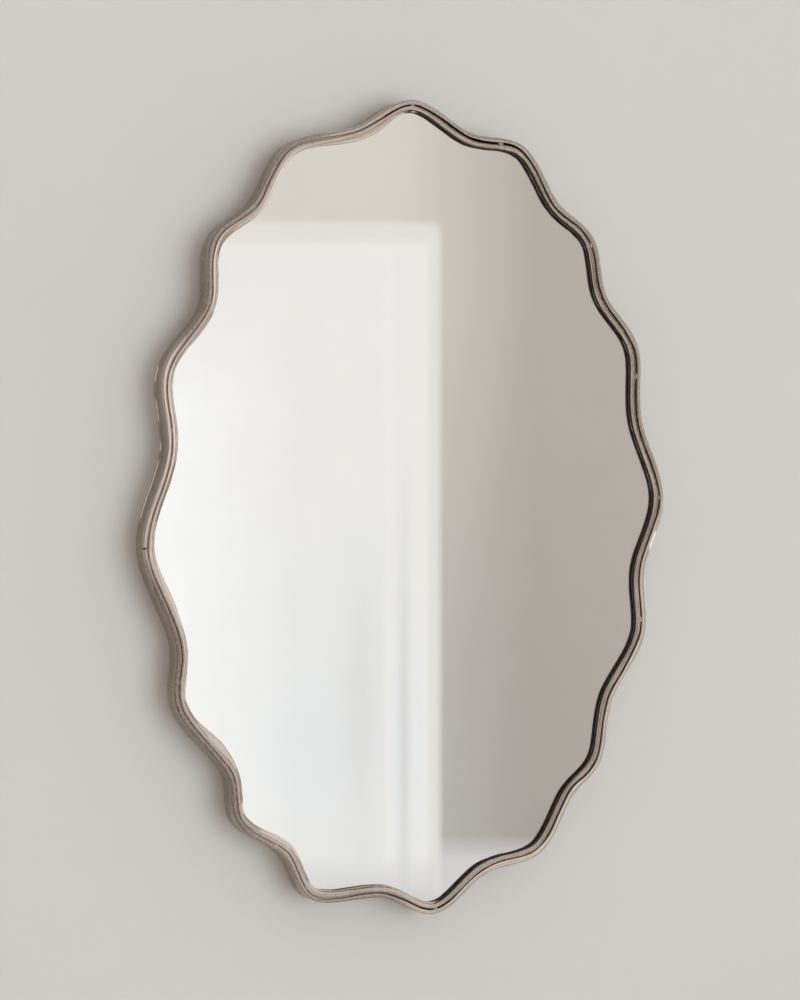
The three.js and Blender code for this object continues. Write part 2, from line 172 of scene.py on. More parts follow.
class WavyLine:
    """The glass's outline as a smooth closed curve that runs clockwise from the top.

    A place on it is a number of stations, of which the frame's own outline has one per corner.
    """

    def __init__(self, node):
        points = corners_of(node)
        front = points[points[:, 1] < points[:, 1].min() + 0.01 * MM]
        flat = np.unique(np.round(front[:, [0, 2]], 6), axis=0)
        turn = np.arctan2(flat[:, 0], flat[:, 1]) % math.tau
        flat = flat[np.argsort(turn)]
        turn = np.sort(turn)
        first = int(np.argmin(np.minimum(turn, math.tau - turn)))
        flat = np.roll(flat, -first, axis=0)
        self.count = len(flat)
        weight = (4 + 2 * np.cos(math.tau * np.arange(self.count) / self.count)) / 6
        self.control = np.fft.ifft(np.fft.fft(flat, axis=0) / weight[:, None], axis=0).real
        self.fine = np.arange(0, self.count, FINE_STEP)
        self.fine_points = self.at(self.fine)[0]

    def at(self, stations):
        """Points (x, z) and outward normals at an array of stations."""
        t = np.atleast_1d(np.asarray(stations, float))
        whole = np.floor(t).astype(int)
        u = (t - whole)[:, None]
        near = [self.control[(whole + shift) % self.count] for shift in (-1, 0, 1, 2)]
        basis = ((1 - u) ** 3 / 6, (3 * u**3 - 6 * u**2 + 4) / 6,
                 (-3 * u**3 + 3 * u**2 + 3 * u + 1) / 6, u**3 / 6)
        slope = (-((1 - u) ** 2) / 2, (9 * u**2 - 12 * u) / 6,
                 (-9 * u**2 + 6 * u + 3) / 6, u**2 / 2)
        points = sum(b * p for b, p in zip(basis, near))
        along = sum(s * p for s, p in zip(slope, near))
        along /= np.linalg.norm(along, axis=1, keepdims=True)
        return points, np.stack([-along[:, 1], along[:, 0]], axis=1)

    def nearest(self, x, z):
        """The station nearest to a point."""
        away = np.hypot(self.fine_points[:, 0] - x, self.fine_points[:, 1] - z)
        return float(self.fine[int(np.argmin(away))])

    def stretch(self, station, distance):
        """How many stations a distance in metres is near a station."""
        step = 0.5
        ends, _ = self.at([station - step, station + step])
        return distance * 2 * step / float(np.linalg.norm(ends[1] - ends[0]))

    def offsets_of(self, node):
        """Each corner of a node as (station, offset outwards from the line, depth from the front)."""
        found = []
        for x, y, z in corners_of(node):
            station = self.nearest(x, z)
            (point,), (normal,) = self.at(station)
            offset = (x - point[0]) * normal[0] + (z - point[1]) * normal[1]
            found.append((station, offset, y - FRONT))
        return np.array(found)


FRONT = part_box("outer_bar_top_right")[0].y
line = WavyLine("mirror_glass")
ALL_ROUND = np.arange(0, line.count, 1 / STEPS_PER_STATION)


def offset_range(node):
    """The lowest and highest offset of a node from the glass's outline."""
    offsets = line.offsets_of(node)[:, 1]
    return round(float(offsets.min()), 5), round(float(offsets.max()), 5)


def depth_range(node):
    """The lowest and highest depth of a node behind the front of the frame."""
    low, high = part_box(node)
    return low.y - FRONT, high.y - FRONT


INNER_FACE, GROOVE_INNER = offset_range("inner_bar_top_right")
GROOVE_OUTER, OUTER_FACE = offset_range("outer_bar_top_right")
GROOVE_MIDDLE = (GROOVE_INNER + GROOVE_OUTER) / 2
OUTER_DEPTH = depth_range("outer_bar_top_right")[1]
INNER_DEPTH = depth_range("inner_bar_top_right")[1]
LIP_FRONT, LIP_BACK = depth_range("glass_lip_top_right")
GLASS_FRONT, GLASS_BACK = depth_range("mirror_glass")
WALL = CAD_BOX[1].y


def wobble(stations, seed, cycles, size):
    """A smooth unevenness along the line that closes on itself: three sines of seeded phase."""
    dice = np.random.default_rng(seed)
    total = np.zeros(len(stations))
    for share, faster in ((1.0, 1.0), (0.6, 1.8), (0.4, 3.1)):
        turns = round(cycles * faster * dice.uniform(0.8, 1.2))
        phase = dice.uniform(0, math.tau)
        total += share * np.sin(math.tau * turns * np.asarray(stations) / line.count + phase)
    return size * total / 2


# ---- mesh helpers


def link(name, data):
    """An object for a mesh, a light or a camera, linked to the scene."""
    made = bpy.data.objects.new(name, data)
    bpy.context.scene.collection.objects.link(made)
    return made


def new_piece(name, mesh, sharp_degrees=35.0):
    """An object in the scene for a mesh, smooth apart from its sharp edges."""
    mesh.validate()
    mesh.shade_smooth()
    mesh.set_sharp_from_angle(angle=math.radians(sharp_degrees))
    return link(name, mesh)


def dress(piece, material, slot, body, *nodes):
    """Gives a piece its material and its body, and hides the frame's nodes that it stands for."""
    piece.data.materials.append(material)
    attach(piece, body)
    if nodes:
        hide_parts(*nodes)
    return piece


def loft(name, rings, closed=False, joined=True, values=None, weld=False):
    """A mesh through rings of points, an array of (ring, corner, xyz).

    closed joins the last ring to the first instead of filling both ends, and joined closes each
    ring on itself. values holds named numbers for each point. The UV map has metres along and around.
    """
    rings = np.asarray(rings, float)
    count, corners = rings.shape[:2]
    mesh = bpy.data.meshes.new(name)
    index = np.arange(count * corners).reshape(count, corners)
    spans = count if closed else count - 1
    sides = corners if joined else corners - 1
    faces = []
    places = []
    centres = rings.mean(axis=1)
    along = np.concatenate([[0], np.cumsum(np.linalg.norm(np.diff(centres, axis=0), axis=1))])
    along = np.append(along, along[-1] + np.linalg.norm(centres[0] - centres[-1]))
    middle = rings[count // 2]
    around = np.linalg.norm(np.roll(middle, -1, axis=0) - middle, axis=1)
    around = np.concatenate([[0], np.cumsum(around)])
    for span in range(spans):
        here, there = index[span], index[(span + 1) % count]
        for side in range(sides):
            after = (side + 1) % corners
            faces.append((here[side], there[side], there[after], here[after]))
            places += [(along[span], around[side]), (along[span + 1], around[side]),
                       (along[span + 1], around[side + 1]), (along[span], around[side + 1])]
    if not closed:
        for ring, order in ((index[0], 1), (index[-1], -1)):
            faces.append(tuple(ring[::order]))
            places += [(0.0, around[side]) for side in range(corners)][::order]
    mesh.from_pydata(rings.reshape(-1, 3).tolist(), [], [tuple(map(int, f)) for f in faces])
    layer = mesh.uv_layers.new(name="along_around")
    layer.uv.foreach_set("vector", np.array(places, np.float32).ravel())
    for key, numbers in (values or {}).items():
        attribute = mesh.attributes.new(key, "FLOAT", "POINT")
        attribute.data.foreach_set("value", np.asarray(numbers, np.float32).ravel())
    tidy_normals(mesh, weld)
    return mesh


def tidy_normals(mesh, weld=False):
    """Turns every face outwards, and first joins points that coincide if weld is set."""
    work = bmesh.new()
    work.from_mesh(mesh)
    if weld:
        bmesh.ops.remove_doubles(work, verts=work.verts, dist=0.002 * MM)
    bmesh.ops.recalc_face_normals(work, faces=work.faces)
    work.to_mesh(mesh)
    work.free()


def carried(row, stations):
    """The same row of (offset, depth) at every station."""
    return np.repeat(np.array(row)[None], len(stations), axis=0)


def along_line(stations, sections):
    """Rings of points: sections is (station, corner, offset and depth)."""
    points, normals = line.at(stations)
    offsets, depths = sections[..., 0], sections[..., 1]
    x = points[:, None, 0] + normals[:, None, 0] * offsets
    z = points[:, None, 1] + normals[:, None, 1] * offsets
    return np.stack([x, FRONT + depths, z], axis=2)


def turned(name, profile, steps, centre):
    """A mesh turned about an axis along Y: profile rows are (radius, y from the centre)."""
    angles = np.linspace(0, math.tau, steps, endpoint=False)
    radius, height = np.array(profile, float).T
    x = np.cos(angles)[:, None] * radius
    z = np.sin(angles)[:, None] * radius
    y = np.broadcast_to(height, x.shape)
    rings = np.stack([x, y, z], axis=2) + np.array(centre)
    return loft(name, rings, closed=True, joined=False, weld=True)


def plate(name, loops, front, back, ease):
    """A flat plate between two depths, with its edges eased.

    loops are closed rows of (x, z): the outline clockwise, then any holes anticlockwise.
    """
    verts, faces, caps = [], [], ([], [])
    for loop in loops:
        loop = np.asarray(loop, float)
        along = np.roll(loop, -1, axis=0) - np.roll(loop, 1, axis=0)
        along /= np.linalg.norm(along, axis=1, keepdims=True)
        out = np.stack([-along[:, 1], along[:, 0]], axis=1)
        start, count = len(verts), len(loop)
        for inset, depth in ((ease, front), (0, front + ease), (0, back - ease), (ease, back)):
            ring = loop - out * inset
            verts += [(x, FRONT + depth, z) for x, z in ring]
        for level in range(3):
            low, high = start + level * count, start + (level + 1) * count
            for i in range(count):
                j = (i + 1) % count
                faces.append((low + i, low + j, high + j, high + i))
        caps[0].append(range(start, start + count))
        caps[1].append(range(start + 3 * count, start + 4 * count))
    for cap in caps:
        flat = [i for ring in cap for i in ring]
        outline = [[Vector((verts[i][0], verts[i][2], 0)) for i in ring] for ring in cap]
        faces += [tuple(flat[i] for i in three) for three in tessellate_polygon(outline)]
    mesh = bpy.data.meshes.new(name)
    mesh.from_pydata(verts, [], faces)
    tidy_normals(mesh)
    return mesh


# ---- materials

# The sockets that a Mix node uses for colours.
COLOUR_A, COLOUR_B, MIXED_COLOUR = 6, 7, 2


class NodeTree:
    """Short ways to add the nodes that the finishes and the world share."""

    def __init__(self, tree):
        self.nodes = tree.nodes
        self.links = tree.links

    def feed(self, socket, value):
        """Links a socket to another, or sets the number or colour that it holds."""
        if isinstance(value, bpy.types.NodeSocket):
            self.links.new(value, socket)
        elif socket.type == "RGBA" and len(value) == 3:
            socket.default_value = (*value, 1.0)
        else:
            socket.default_value = value

    def node(self, kind, inputs=(), **settings):
        """A node with its settings, and inputs by name or number from sockets or values."""
        made = self.nodes.new(kind)
        for key, value in settings.items():
            setattr(made, key, value)
        for key, value in dict(inputs).items():
            self.feed(made.inputs[key], value)
        return made

    def range(self, value, low, high, to_low, to_high):
        """Maps a range of numbers to another, clamped at both ends."""
        limits = {"From Min": low, "From Max": high, "To Min": to_low, "To Max": to_high}
        return self.node("ShaderNodeMapRange", {"Value": value, **limits}).outputs["Result"]

    def math(self, operation, first, second):
        """One sum of two numbers."""
        return self.node("ShaderNodeMath", {0: first, 1: second}, operation=operation).outputs[0]

    def blend(self, share, first, second):
        """A shader between two."""
        return self.node("ShaderNodeMixShader", {0: share, 1: first, 2: second}).outputs[0]


class Finish(NodeTree):
    """A procedural material, with its Principled shader at hand."""

    def __init__(self, name):
        self.material = bpy.data.materials.new(name)
        self.material.use_nodes = True
        super().__init__(self.material.node_tree)
        self.shader = self.nodes["Principled BSDF"]

    def set(self, **values):
        """Sets sockets of the shader, and returns the material. An underscore stands for a space."""
        for key, value in values.items():
            self.feed(self.shader.inputs[key.replace("_", " ")], value)
        return self.material

    def clear(self):
        """A shader that lets everything through."""
        return self.node("ShaderNodeBsdfTransparent").outputs[0]

    def surface(self, shader):
        """Shows another shader instead, and returns the material."""
        self.links.new(shader, self.nodes["Material Output"].inputs["Surface"])
        return self.material

    def place(self, scale=(1, 1, 1), kind="Object"):
        """Coordinates in metres, stretched by a scale. kind is Object, or UV for along and around."""
        source = self.node("ShaderNodeTexCoord").outputs[kind]
        return self.node("ShaderNodeMapping", {"Vector": source, "Scale": scale}).outputs[0]

    def apart(self, vector):
        """The numbers that make up a vector."""
        return self.node("ShaderNodeSeparateXYZ", {0: vector}).outputs

    def noise(self, scale, detail=3.0, roughness=0.55, kind="Object"):
        """Soft noise from 0 to 1. A single number for the scale stands for all three ways."""
        scale = scale if isinstance(scale, tuple) else (scale,) * 3
        inputs = {"Vector": self.place(scale, kind), "Scale": 1.0, "Detail": detail, "Roughness": roughness}
        return self.node("ShaderNodeTexNoise", inputs).outputs["Fac"]

    def cells(self, scale):
        """Random cells: outputs for the distance from each middle and for a colour of each."""
        return self.node("ShaderNodeTexVoronoi", {"Vector": self.place((scale,) * 3), "Scale": 1.0}).outputs

    def number(self, name):
        """A named number of the mesh's points."""
        return self.node("ShaderNodeAttribute", attribute_name=name).outputs["Fac"]

    def inside(self, value, middle, half, soft):
        """1 where a number is within half of a middle, and 0 outside, with a soft edge."""
        away = self.math("ABSOLUTE", self.math("SUBTRACT", value, middle), 0)
        return self.range(away, half - soft, half + soft, 1, 0)

    def mix(self, share, first, second):
        """A colour between two."""
        colours = {0: share, COLOUR_A: first, COLOUR_B: second}
        return self.node("ShaderNodeMix", colours, data_type="RGBA").outputs[MIXED_COLOUR]

    def mottled(self, share, colour, darker, lighter):
        """A colour that wanders between a darker and a lighter share of itself."""
        return self.mix(share, scaled(colour, darker), scaled(colour, lighter))

    def over(self, tone, colour, value, low, high, most=1.0):
        """A tone with a colour laid over it, from none where a number is low to most where it is high."""
        return self.mix(self.range(value, low, high, 0.0, most), tone, colour)

    def bump(self, height, distance, strength=1.0):
        """A normal from a height between 0 and 1 times a distance in metres."""
        inputs = {"Height": height, "Distance": distance, "Strength": strength}
        return self.node("ShaderNodeBump", inputs).outputs[0]


def scaled(colour, share):
    """A colour made darker or lighter."""
    return tuple(min(1.0, c * share) for c in colour)


def frame_nickel(name):
    """Polished nickel with fine lines along the bar and soft dents, painted highlights and glints on its
    edges, and recesses darkened by patina and painted shade.
    """
    looks = bpy.context.scene.mirror_frame_looks
    finish = Finish(name)
    lines = finish.noise((90, 5200, 1), 2.0, kind="UV")
    creases = finish.noise((6, 430, 1), 2.0, 0.5, kind="UV")
    dents = finish.noise(110, 2.0, 0.5)
    clouds = finish.noise(28)
    raggedness = finish.noise(420, 4.0, 0.65)
    # polish says where the nickel is polished and where it gets a painted highlight: it lowers the
    # roughness and lightens the tone.
    recess = finish.number("recess")
    # recess says how far the patina colour darkens a place: patina in the hollows, and painted shade in
    # grooves, creases and corners and along stretches that lie in shade. Noise makes its edge ragged.
    polish = finish.number("polish")
    rope = finish.number("rope")
    ragged_recess = finish.math("ADD", recess, finish.range(raggedness, 0.3, 0.7, -0.22, 0.22))
    patina_and_shade = finish.range(ragged_recess, 0.25, 0.85, 0.0, 1.0)
    along, around, _ = finish.apart(finish.place(kind="UV"))
    # The rope's fine ribs: their valleys get patina and painted shade.
    turns = finish.math("MULTIPLY", finish.math("ADD", along, around), math.tau / looks.rope_pitch)
    rib = finish.range(finish.math("SINE", turns, 0.0), -1.0, 1.0, 0.0, 1.0)
    valley = finish.math("MULTIPLY", rope, finish.range(rib, 0.1, 0.6, 0.8, 0.0))
    tone = finish.mottled(clouds, looks.nickel, 0.92, 1.08)
    tone = finish.over(tone, scaled(looks.nickel, 0.66), lines, 0.35, 0.65, 0.16)
    # Each crease gets painted shade along one side and a painted highlight along the other.
    tone = finish.over(tone, scaled(looks.nickel, 0.55), creases, 0.52, 0.62, 0.7)
    tone = finish.over(tone, scaled(looks.nickel, 1.25), creases, 0.46, 0.36, 0.7)
    tone = finish.over(tone, scaled(looks.nickel, 1.32), polish, 0.0, 1.2)
    tone = finish.mix(valley, tone, looks.patina)
    tone = finish.mix(patina_and_shade, tone, looks.patina)
    # Past 1 that number paints a glint: the tone turns pale and less metallic.
    glint = finish.range(polish, 1.0, 1.6, 0.0, 1.0)
    tone = finish.mix(glint, tone, (0.97, 0.95, 0.92))
    rough = finish.range(lines, 0.3, 0.7, looks.roughness - 0.05, looks.roughness + 0.07)
    rough = finish.math("SUBTRACT", rough, finish.range(polish, 0.0, 1.0, 0.0, 0.08))
    rough = finish.math("ADD", rough, finish.range(patina_and_shade, 0.0, 1.0, 0.0, 0.25))
    height = finish.math("ADD", finish.range(lines, 0, 1, 0, 0.018), dents)
    height = finish.math("ADD", height, finish.range(creases, 0.34, 0.66, 0.12, 0.0))
    ribs = finish.math("MULTIPLY", finish.math("MULTIPLY", rope, rib), 0.8)
    height = finish.math("ADD", height, ribs)
    metal_outside_glint = finish.range(glint, 0.0, 1.0, 1.0, 0.2)
    metal = finish.math("SUBTRACT", metal_outside_glint, finish.range(patina_and_shade, 0.3, 1.0, 0.0, 0.8))
    return finish.set(
        Base_Color=tone, Roughness=rough, Metallic=finish.math("MAXIMUM", metal, 0.0),
        Normal=finish.bump(height, 0.25 * MM),
    )


def weld_nickel(name):
    """The same plating over a rippled weld bead."""
    looks = bpy.context.scene.mirror_frame_looks
    finish = Finish(name)
    grains = finish.noise(900, 4.0, 0.6)
    tone = finish.mottled(finish.noise(160, 2.0), looks.nickel, 0.95, 1.15)
    tone = finish.over(tone, looks.patina, grains, 0.62, 0.8, 0.5)
    rough = finish.range(grains, 0.3, 0.7, 0.34, 0.5)
    return finish.set(
        Base_Color=tone, Roughness=rough, Metallic=1.0, Normal=finish.bump(grains, 0.10 * MM),
    )


def clear_glass(name):
    """Clear float glass, with faint wiping marks."""
    looks = bpy.context.scene.mirror_glass_looks
    finish = Finish(name)
    swirls = finish.noise((9, 9, 16), 5.0, 0.6)
    marks = finish.math("MULTIPLY", finish.range(swirls, 0.56, 0.78, 0.0, 1.0), finish.noise(260, 2.0))
    return finish.set(
        Base_Color=looks.tint, Roughness=finish.range(marks, 0.0, 1.0, 0.0, looks.smudges),
        IOR=1.52, Transmission_Weight=1.0,
    )


def silver_coat(name):
    """The silver behind the glass, with the faint ripple of drawn glass."""
    looks = bpy.context.scene.mirror_glass_looks
    finish = Finish(name)
    ripple = finish.noise((5, 5, 3), 1.0)
    bloom = finish.noise(14, 4.0)
    tone = finish.over(looks.silver, scaled(looks.silver, 0.975), bloom, 0.4, 0.8)
    return finish.set(
        Base_Color=tone, Metallic=1.0, Roughness=finish.range(bloom, 0.4, 0.8, 0.003, 0.010),
        Normal=finish.bump(ripple, 0.02 * MM),
    )


def fibreboard(name):
    """Plain fibreboard: short fine fibres, a mottled tone and a few darker flecks."""
    looks = bpy.context.scene.mirror_back_looks
    finish = Finish(name)
    fibres = finish.noise((700, 700, 1900), 4.0, 0.7)
    crossed = finish.noise((1800, 900, 600), 4.0, 0.7)
    fur = finish.math("MULTIPLY", finish.math("ADD", fibres, crossed), 0.5)
    tone = finish.mottled(fur, looks.board, 0.72, 1.32)
    tone = finish.over(tone, scaled(looks.board, 0.82), finish.noise(22, 4.0), 0.35, 0.7, 0.5)
    tone = finish.over(tone, scaled(looks.board, 0.45), finish.noise(330, 2.0), 0.68, 0.74, 0.6)
    return finish.set(
        Base_Color=tone, Roughness=finish.range(fur, 0.3, 0.7, 0.72, 0.9),
        Normal=finish.bump(fur, 0.12 * MM, 0.7),
    )


def zinc_plate(name):
    """Bright zinc on pressed steel: pale spangles, scuffed lines and matt spots."""
    looks = bpy.context.scene.mirror_back_looks
    finish = Finish(name)
    spangle = finish.node("ShaderNodeSeparateColor", {"Color": finish.cells(330)["Color"]}).outputs[0]
    rubs = finish.noise((240, 240, 2600))
    darkening = finish.noise(120, 4.0)
    tone = finish.mottled(spangle, looks.zinc, 0.88, 1.12)
    tone = finish.over(tone, scaled(looks.zinc, 0.55), darkening, 0.55, 0.8, 0.5)
    duller = finish.range(darkening, 0.5, 0.8, 0.0, 0.2)
    rough = finish.math("ADD", finish.range(rubs, 0.3, 0.7, 0.24, 0.40), duller)
    return finish.set(
        Base_Color=tone, Roughness=rough, Metallic=1.0, Normal=finish.bump(rubs, 0.04 * MM, 0.7),
    )


def foot_rubber(name):
    """Moulded rubber with a fine matt grain and dusty high spots."""
    looks = bpy.context.scene.mirror_back_looks
    finish = Finish(name)
    grain = finish.noise(1500)
    dusty = scaled(looks.rubber, 3.2)
    return finish.set(
        Base_Color=finish.over(looks.rubber, dusty, finish.noise(180, 4.0), 0.5, 0.8, 0.4),
        Roughness=finish.range(grain, 0.3, 0.7, 0.62, 0.8), Normal=finish.bump(grain, 0.06 * MM, 0.7),
    )


def seal_foam(name):
    """Black closed-cell foam tape."""
    looks = bpy.context.scene.mirror_back_looks
    finish = Finish(name)
    cells = finish.cells(2200)["Distance"]
    tone = finish.mottled(cells, looks.foam, 1.0, 2.6)
    return finish.set(Base_Color=tone, Roughness=0.92, Normal=finish.bump(cells, 0.10 * MM))


def shared(name, make):
    """A material by its name, made when it is first asked for."""
    return bpy.data.materials.get(name) or make(name)


def nickel_finish():
    """The frame's nickel."""
    return shared("hand_worked_nickel", frame_nickel)


def weld_finish():
    """The plating of the welds."""
    return shared("plated_weld_bead", weld_nickel)


def zinc_finish():
    """The zinc of the screws and hangers."""
    return shared("bright_zinc_plate", zinc_plate)


# ---- the frame

# Stretches of the line, in waves clockwise from the top. First where the lip gets painted shade, where the
# inner edge is finely milled like a rope, and where the bead at the back and the rim get a painted glint.
SHADED_LIP = ((0.04, 7.96), (15.93, 16.0))
ROPE_EDGE = ((9.15, 9.5), (9.8, 10.06), (10.2, 10.6), (10.76, 11.05), (12.15, 12.45), (13.9, 14.2))
GLINT_ON_BACK_BEAD = ((12.14, 12.46), (12.5, 12.57), (12.68, 12.82), (12.93, 13.04))
GLINT_ON_RIM = ((4.215, 4.345),)
# Where the groove is narrower and wider than elsewhere, where solder fills it and where its painted shade
# is left lighter, where the inner bar's face is broader, and where a seam shows as dark as it can.
CLOSED_GROOVE = ((6.9, 7.8), (9.0, 9.8), (10.6, 11.0), (13.6, 13.9), (14.3, 15.1))
WIDE_GROOVE = ((0.2, 1.0),)
SOLDERED = (8.45, 15.75)
PALE_GROOVE = (4.3, 7.9)
BROAD_FACE = ((0.15, 0.95), (2.0, 7.9))
SEAM = ((11.98, 12.02),)
GROOVE_CLOSING = 0.42 * MM
GROOVE_WIDENING = 0.5 * MM
BROAD_FACE_WIDENING = 1.3 * MM
# How much painted highlight the outer bar's ridge gets at some waves.
RIDGE_HIGHLIGHT = (
    (4.1, 0.25), (4.4, 1.0), (7.8, 1.0), (8.1, 0.25), (11.9, 0.25), (12.1, 0.40), (13.0, 0.40),
    (13.2, 0.25), (15.4, 0.25), (15.6, 0.9), (15.7, 0.9), (15.9, 0.25),
)
# How much painted shade the outer bar's nose gets at some waves, and how much the inner bar's face gets by
# the groove. Below nothing the face gets a painted highlight instead.
NOSE_SHADE = (
    (0.1, 0.40), (1.0, 0.40), (1.3, 0.50), (2.0, 0.50), (2.4, 0.47), (3.8, 0.47), (4.2, 0.0),
    (8.1, 0.0), (8.4, 0.50), (9.6, 0.48), (9.9, 0.66), (10.9, 0.66), (11.8, 0.68), (12.1, 0.0),
    (13.0, 0.0), (13.3, 0.57), (14.1, 0.57), (14.4, 0.50), (15.2, 0.50), (15.5, 0.0),
)
FACE_SHADE = (
    (0.1, 0.50), (2.0, 0.50), (2.4, 0.64), (3.9, 0.64), (4.3, 0.30), (7.8, 0.30), (8.1, 0.0),
    (8.4, 0.36), (9.4, 0.36), (9.6, 0.20), (9.9, 0.44), (10.9, 0.44), (11.2, 0.55), (11.8, 0.55),
    (12.0, 0.0), (12.2, -0.6), (13.0, -0.6), (13.2, -0.4), (14.1, -0.4), (14.3, 0.32), (15.2, 0.32),
    (15.5, 0.0), (15.9, 0.0),
)
# How much painted highlight the bead on the inner bar's glass side gets at some waves, with painted shade
# where it is below 1, and how much painted shade the lip's edge gets.
BEAD_HIGHLIGHT = (
    (0.2, -0.1), (0.9, -0.1), (1.1, -0.6), (1.9, -0.6), (2.1, 0.0), (7.8, 0.1), (8.1, 1.0), (10.9, 1.0),
    (11.1, 0.4), (11.9, 0.4), (12.1, 1.0), (14.1, 1.0), (14.3, 1.6), (15.1, 1.6), (15.4, 1.0),
)
LIP_SHADE = (
    (8.1, 0.0), (8.5, 0.50), (8.9, 0.50), (9.1, 0.1), (10.9, 0.1), (11.2, 0.50), (13.9, 0.50), (14.2, 0.1),
)
# How far the groove drifts from its line at the front, in millimetres, at some waves.
GROOVE_DRIFT = (
    (0.6, -0.05), (1.5, -1.0), (3.0, 0.0), (5.0, -0.6), (6.2, -0.5), (7.3, -1.1), (8.9, 1.1),
    (10.3, 0.2), (11.5, 0.7), (12.5, -0.2), (13.6, 0.0), (14.7, 1.2), (15.6, -0.5),
)
# The depth to which a bar counts as its front, and the two sections at each of its ends.
FRONT_DEPTH = 3 * MM
END_SECTIONS = [0, 1, -1, -2]
# How strong a painted glint is, how dark the bars' ends and a seam are, the least darkening of the inner
# bar's face, and how deep the painted shade on its bead is where its highlight is low. The last is the
# share of the groove's patina and painted shade left out where solder fills it and where it is left
# lighter.
GLINT_LEVEL = 1.6
END_GRIME = 0.3
SEAM_GRIME = 0.95
FACE_GRIME = 0.12
BEAD_SHADE_DEPTH = 0.36
GROOVE_LIGHTENING = 0.85
# Weld beads: half lengths, how far they reach over the bars, and the depths of their fronts and
# backs. The one at the left joint lies low.
WELD_HALF_LENGTH = 3.4 * MM
WELD_VARIATION = 0.8 * MM
JOINT_WELD_HALF_LENGTH = 2.0 * MM
WELD_OVERLAP = 0.7 * MM
WELD_FRONT = 0.85 * MM
LOW_WELD_FRONT = 3.2 * MM
WELD_BACK = 7 * MM
# Radii of the holes for the screws, in the board and in the tabs.
PILOT_HOLE = 1.75 * MM
TAB_HOLE = 1.9 * MM
# The first seed of each kind of piece's unevenness.
GROOVE_SEED = 5
OUTER_BAR_SEED = 10
INNER_BAR_SEED = 30
LIP_SEED = 50
WELD_SEED = 70
FOAM_SEED = 90
SOLDER_SEED = 95
TAB_WELD_SEED = 200


def stretches(stations, spans, fade=0.03):
    """A column with 1 inside any of the spans and 0 outside, and a short fade at each end."""
    wave = np.asarray(stations, float)[:, None] % line.count / STATIONS_PER_WAVE
    inside = [np.clip(np.minimum(wave - low, high - wave) / fade + 0.5, 0, 1) for low, high in spans]
    return np.maximum.reduce(inside)


def along_waves(stations, table):
    """A column read from a table of (wave, number), with straight runs between its places."""
    waves, numbers = np.array(table).T
    wave = np.asarray(stations, float)[:, None] / STATIONS_PER_WAVE
    return np.interp(wave, waves, numbers, period=line.count / STATIONS_PER_WAVE)


def quarter_stations(node):
    """Evenly spaced stations along one quarter piece, with two more close to each end."""
    found = line.offsets_of(node)[:, 0]
    quarter = line.count / len(QUARTERS)
    start = round(float(np.median(found)) / quarter - 0.5) * quarter
    margin = line.stretch(start, 0.02 * MM)
    even = np.linspace(start + margin, start + quarter - margin, int(quarter * STEPS_PER_STATION) + 1)
    steps = line.stretch(start, 0.4 * MM) * np.array([1, 2])
    return np.sort(np.concatenate([even, even[0] + steps, even[-1] - steps]))


def ease_ends(sections, centre, ease):
    """Draws the first and last sections in a little, so that each butt joint shows as a seam."""
    for end, share in zip(END_SECTIONS, (1.0, 0.25, 1.0, 0.25)):
        away = sections[end] - centre
        sections[end] = centre + away * (1 - share * ease / np.abs(away).max(axis=0).clip(1e-6))


def outer_bar_rows(looks):
    """The outer bar's section: rows of offset, depth, patina and painted shade, and polishing and painted
    highlight, from the groove's back edge.
    """
    nose_edge = GROOVE_OUTER - looks.overhang
    middle = (nose_edge + OUTER_FACE) / 2
    half = (OUTER_FACE - nose_edge) / 2
    drop = 1.7 * MM
    power = 2 / looks.nose_squareness
    # The recess numbers darken the groove's walls with patina and painted shade.
    rows = [
        (GROOVE_OUTER + 0.4 * MM, OUTER_DEPTH, 0.5, 0.0),
        (GROOVE_OUTER, OUTER_DEPTH - 0.4 * MM, 0.9, 0.0),
        (GROOVE_OUTER, OUTER_DEPTH * 0.5, 1.0, 0.0),
        (GROOVE_OUTER, 6 * MM, 1.0, 0.0),
        (GROOVE_OUTER, 3.4 * MM, 0.95, 0.0),
        (GROOVE_OUTER - looks.overhang * 0.7, 2.6 * MM, 0.8, 0.0),
    ]
    for angle in np.linspace(math.pi, 0, 33):
        cosine, sine = math.cos(angle), math.sin(angle)
        offset = middle + half * math.copysign(abs(cosine) ** power, cosine)
        depth = drop * (1 - sine**power)
        # Along the nose: a painted highlight by the groove, and painted shade on its groove side and in the
        # scored line.
        groove_side = max(0.0, -cosine - 0.8) / 0.2
        polish = math.exp(-(((cosine + 0.45) / 0.35) ** 2))
        score = math.exp(-(((cosine - 0.60) / 0.10) ** 2))
        rows.append((offset, depth + 0.35 * MM * score, 0.7 * groove_side + 0.72 * score, polish))
    wall = OUTER_FACE - looks.back_bead
    bead = 0.8 * MM
    # The outer wall and the bead at its back get patina and painted shade, and the bead a little painted
    # highlight.
    wall_patina_and_shade = (
        (3.8 * MM, 0.24), (9 * MM, 0.34), (16 * MM, 0.40), (22 * MM, 0.36),
        (OUTER_DEPTH - 3.4 * MM, 0.34), (OUTER_DEPTH - 3.1 * MM, 0.34), (OUTER_DEPTH - 2.6 * bead, 0.32),
    )
    rows.append((OUTER_FACE - 0.1 * MM, 2.6 * MM, 0.10, 0.1))
    rows += [(wall, depth, patina_and_shade, 0.0) for depth, patina_and_shade in wall_patina_and_shade]
    rows += [
        (OUTER_FACE - 0.1 * MM, OUTER_DEPTH - 1.9 * bead, 0.3, 0.1),
        (OUTER_FACE, OUTER_DEPTH - 1.2 * bead, 0.3, 0.15),
        (OUTER_FACE - 0.1 * MM, OUTER_DEPTH - 0.5 * bead, 0.3, 0.1),
        (OUTER_FACE - bead, OUTER_DEPTH, 0.4, 0.0),
    ]
    return np.array(rows)


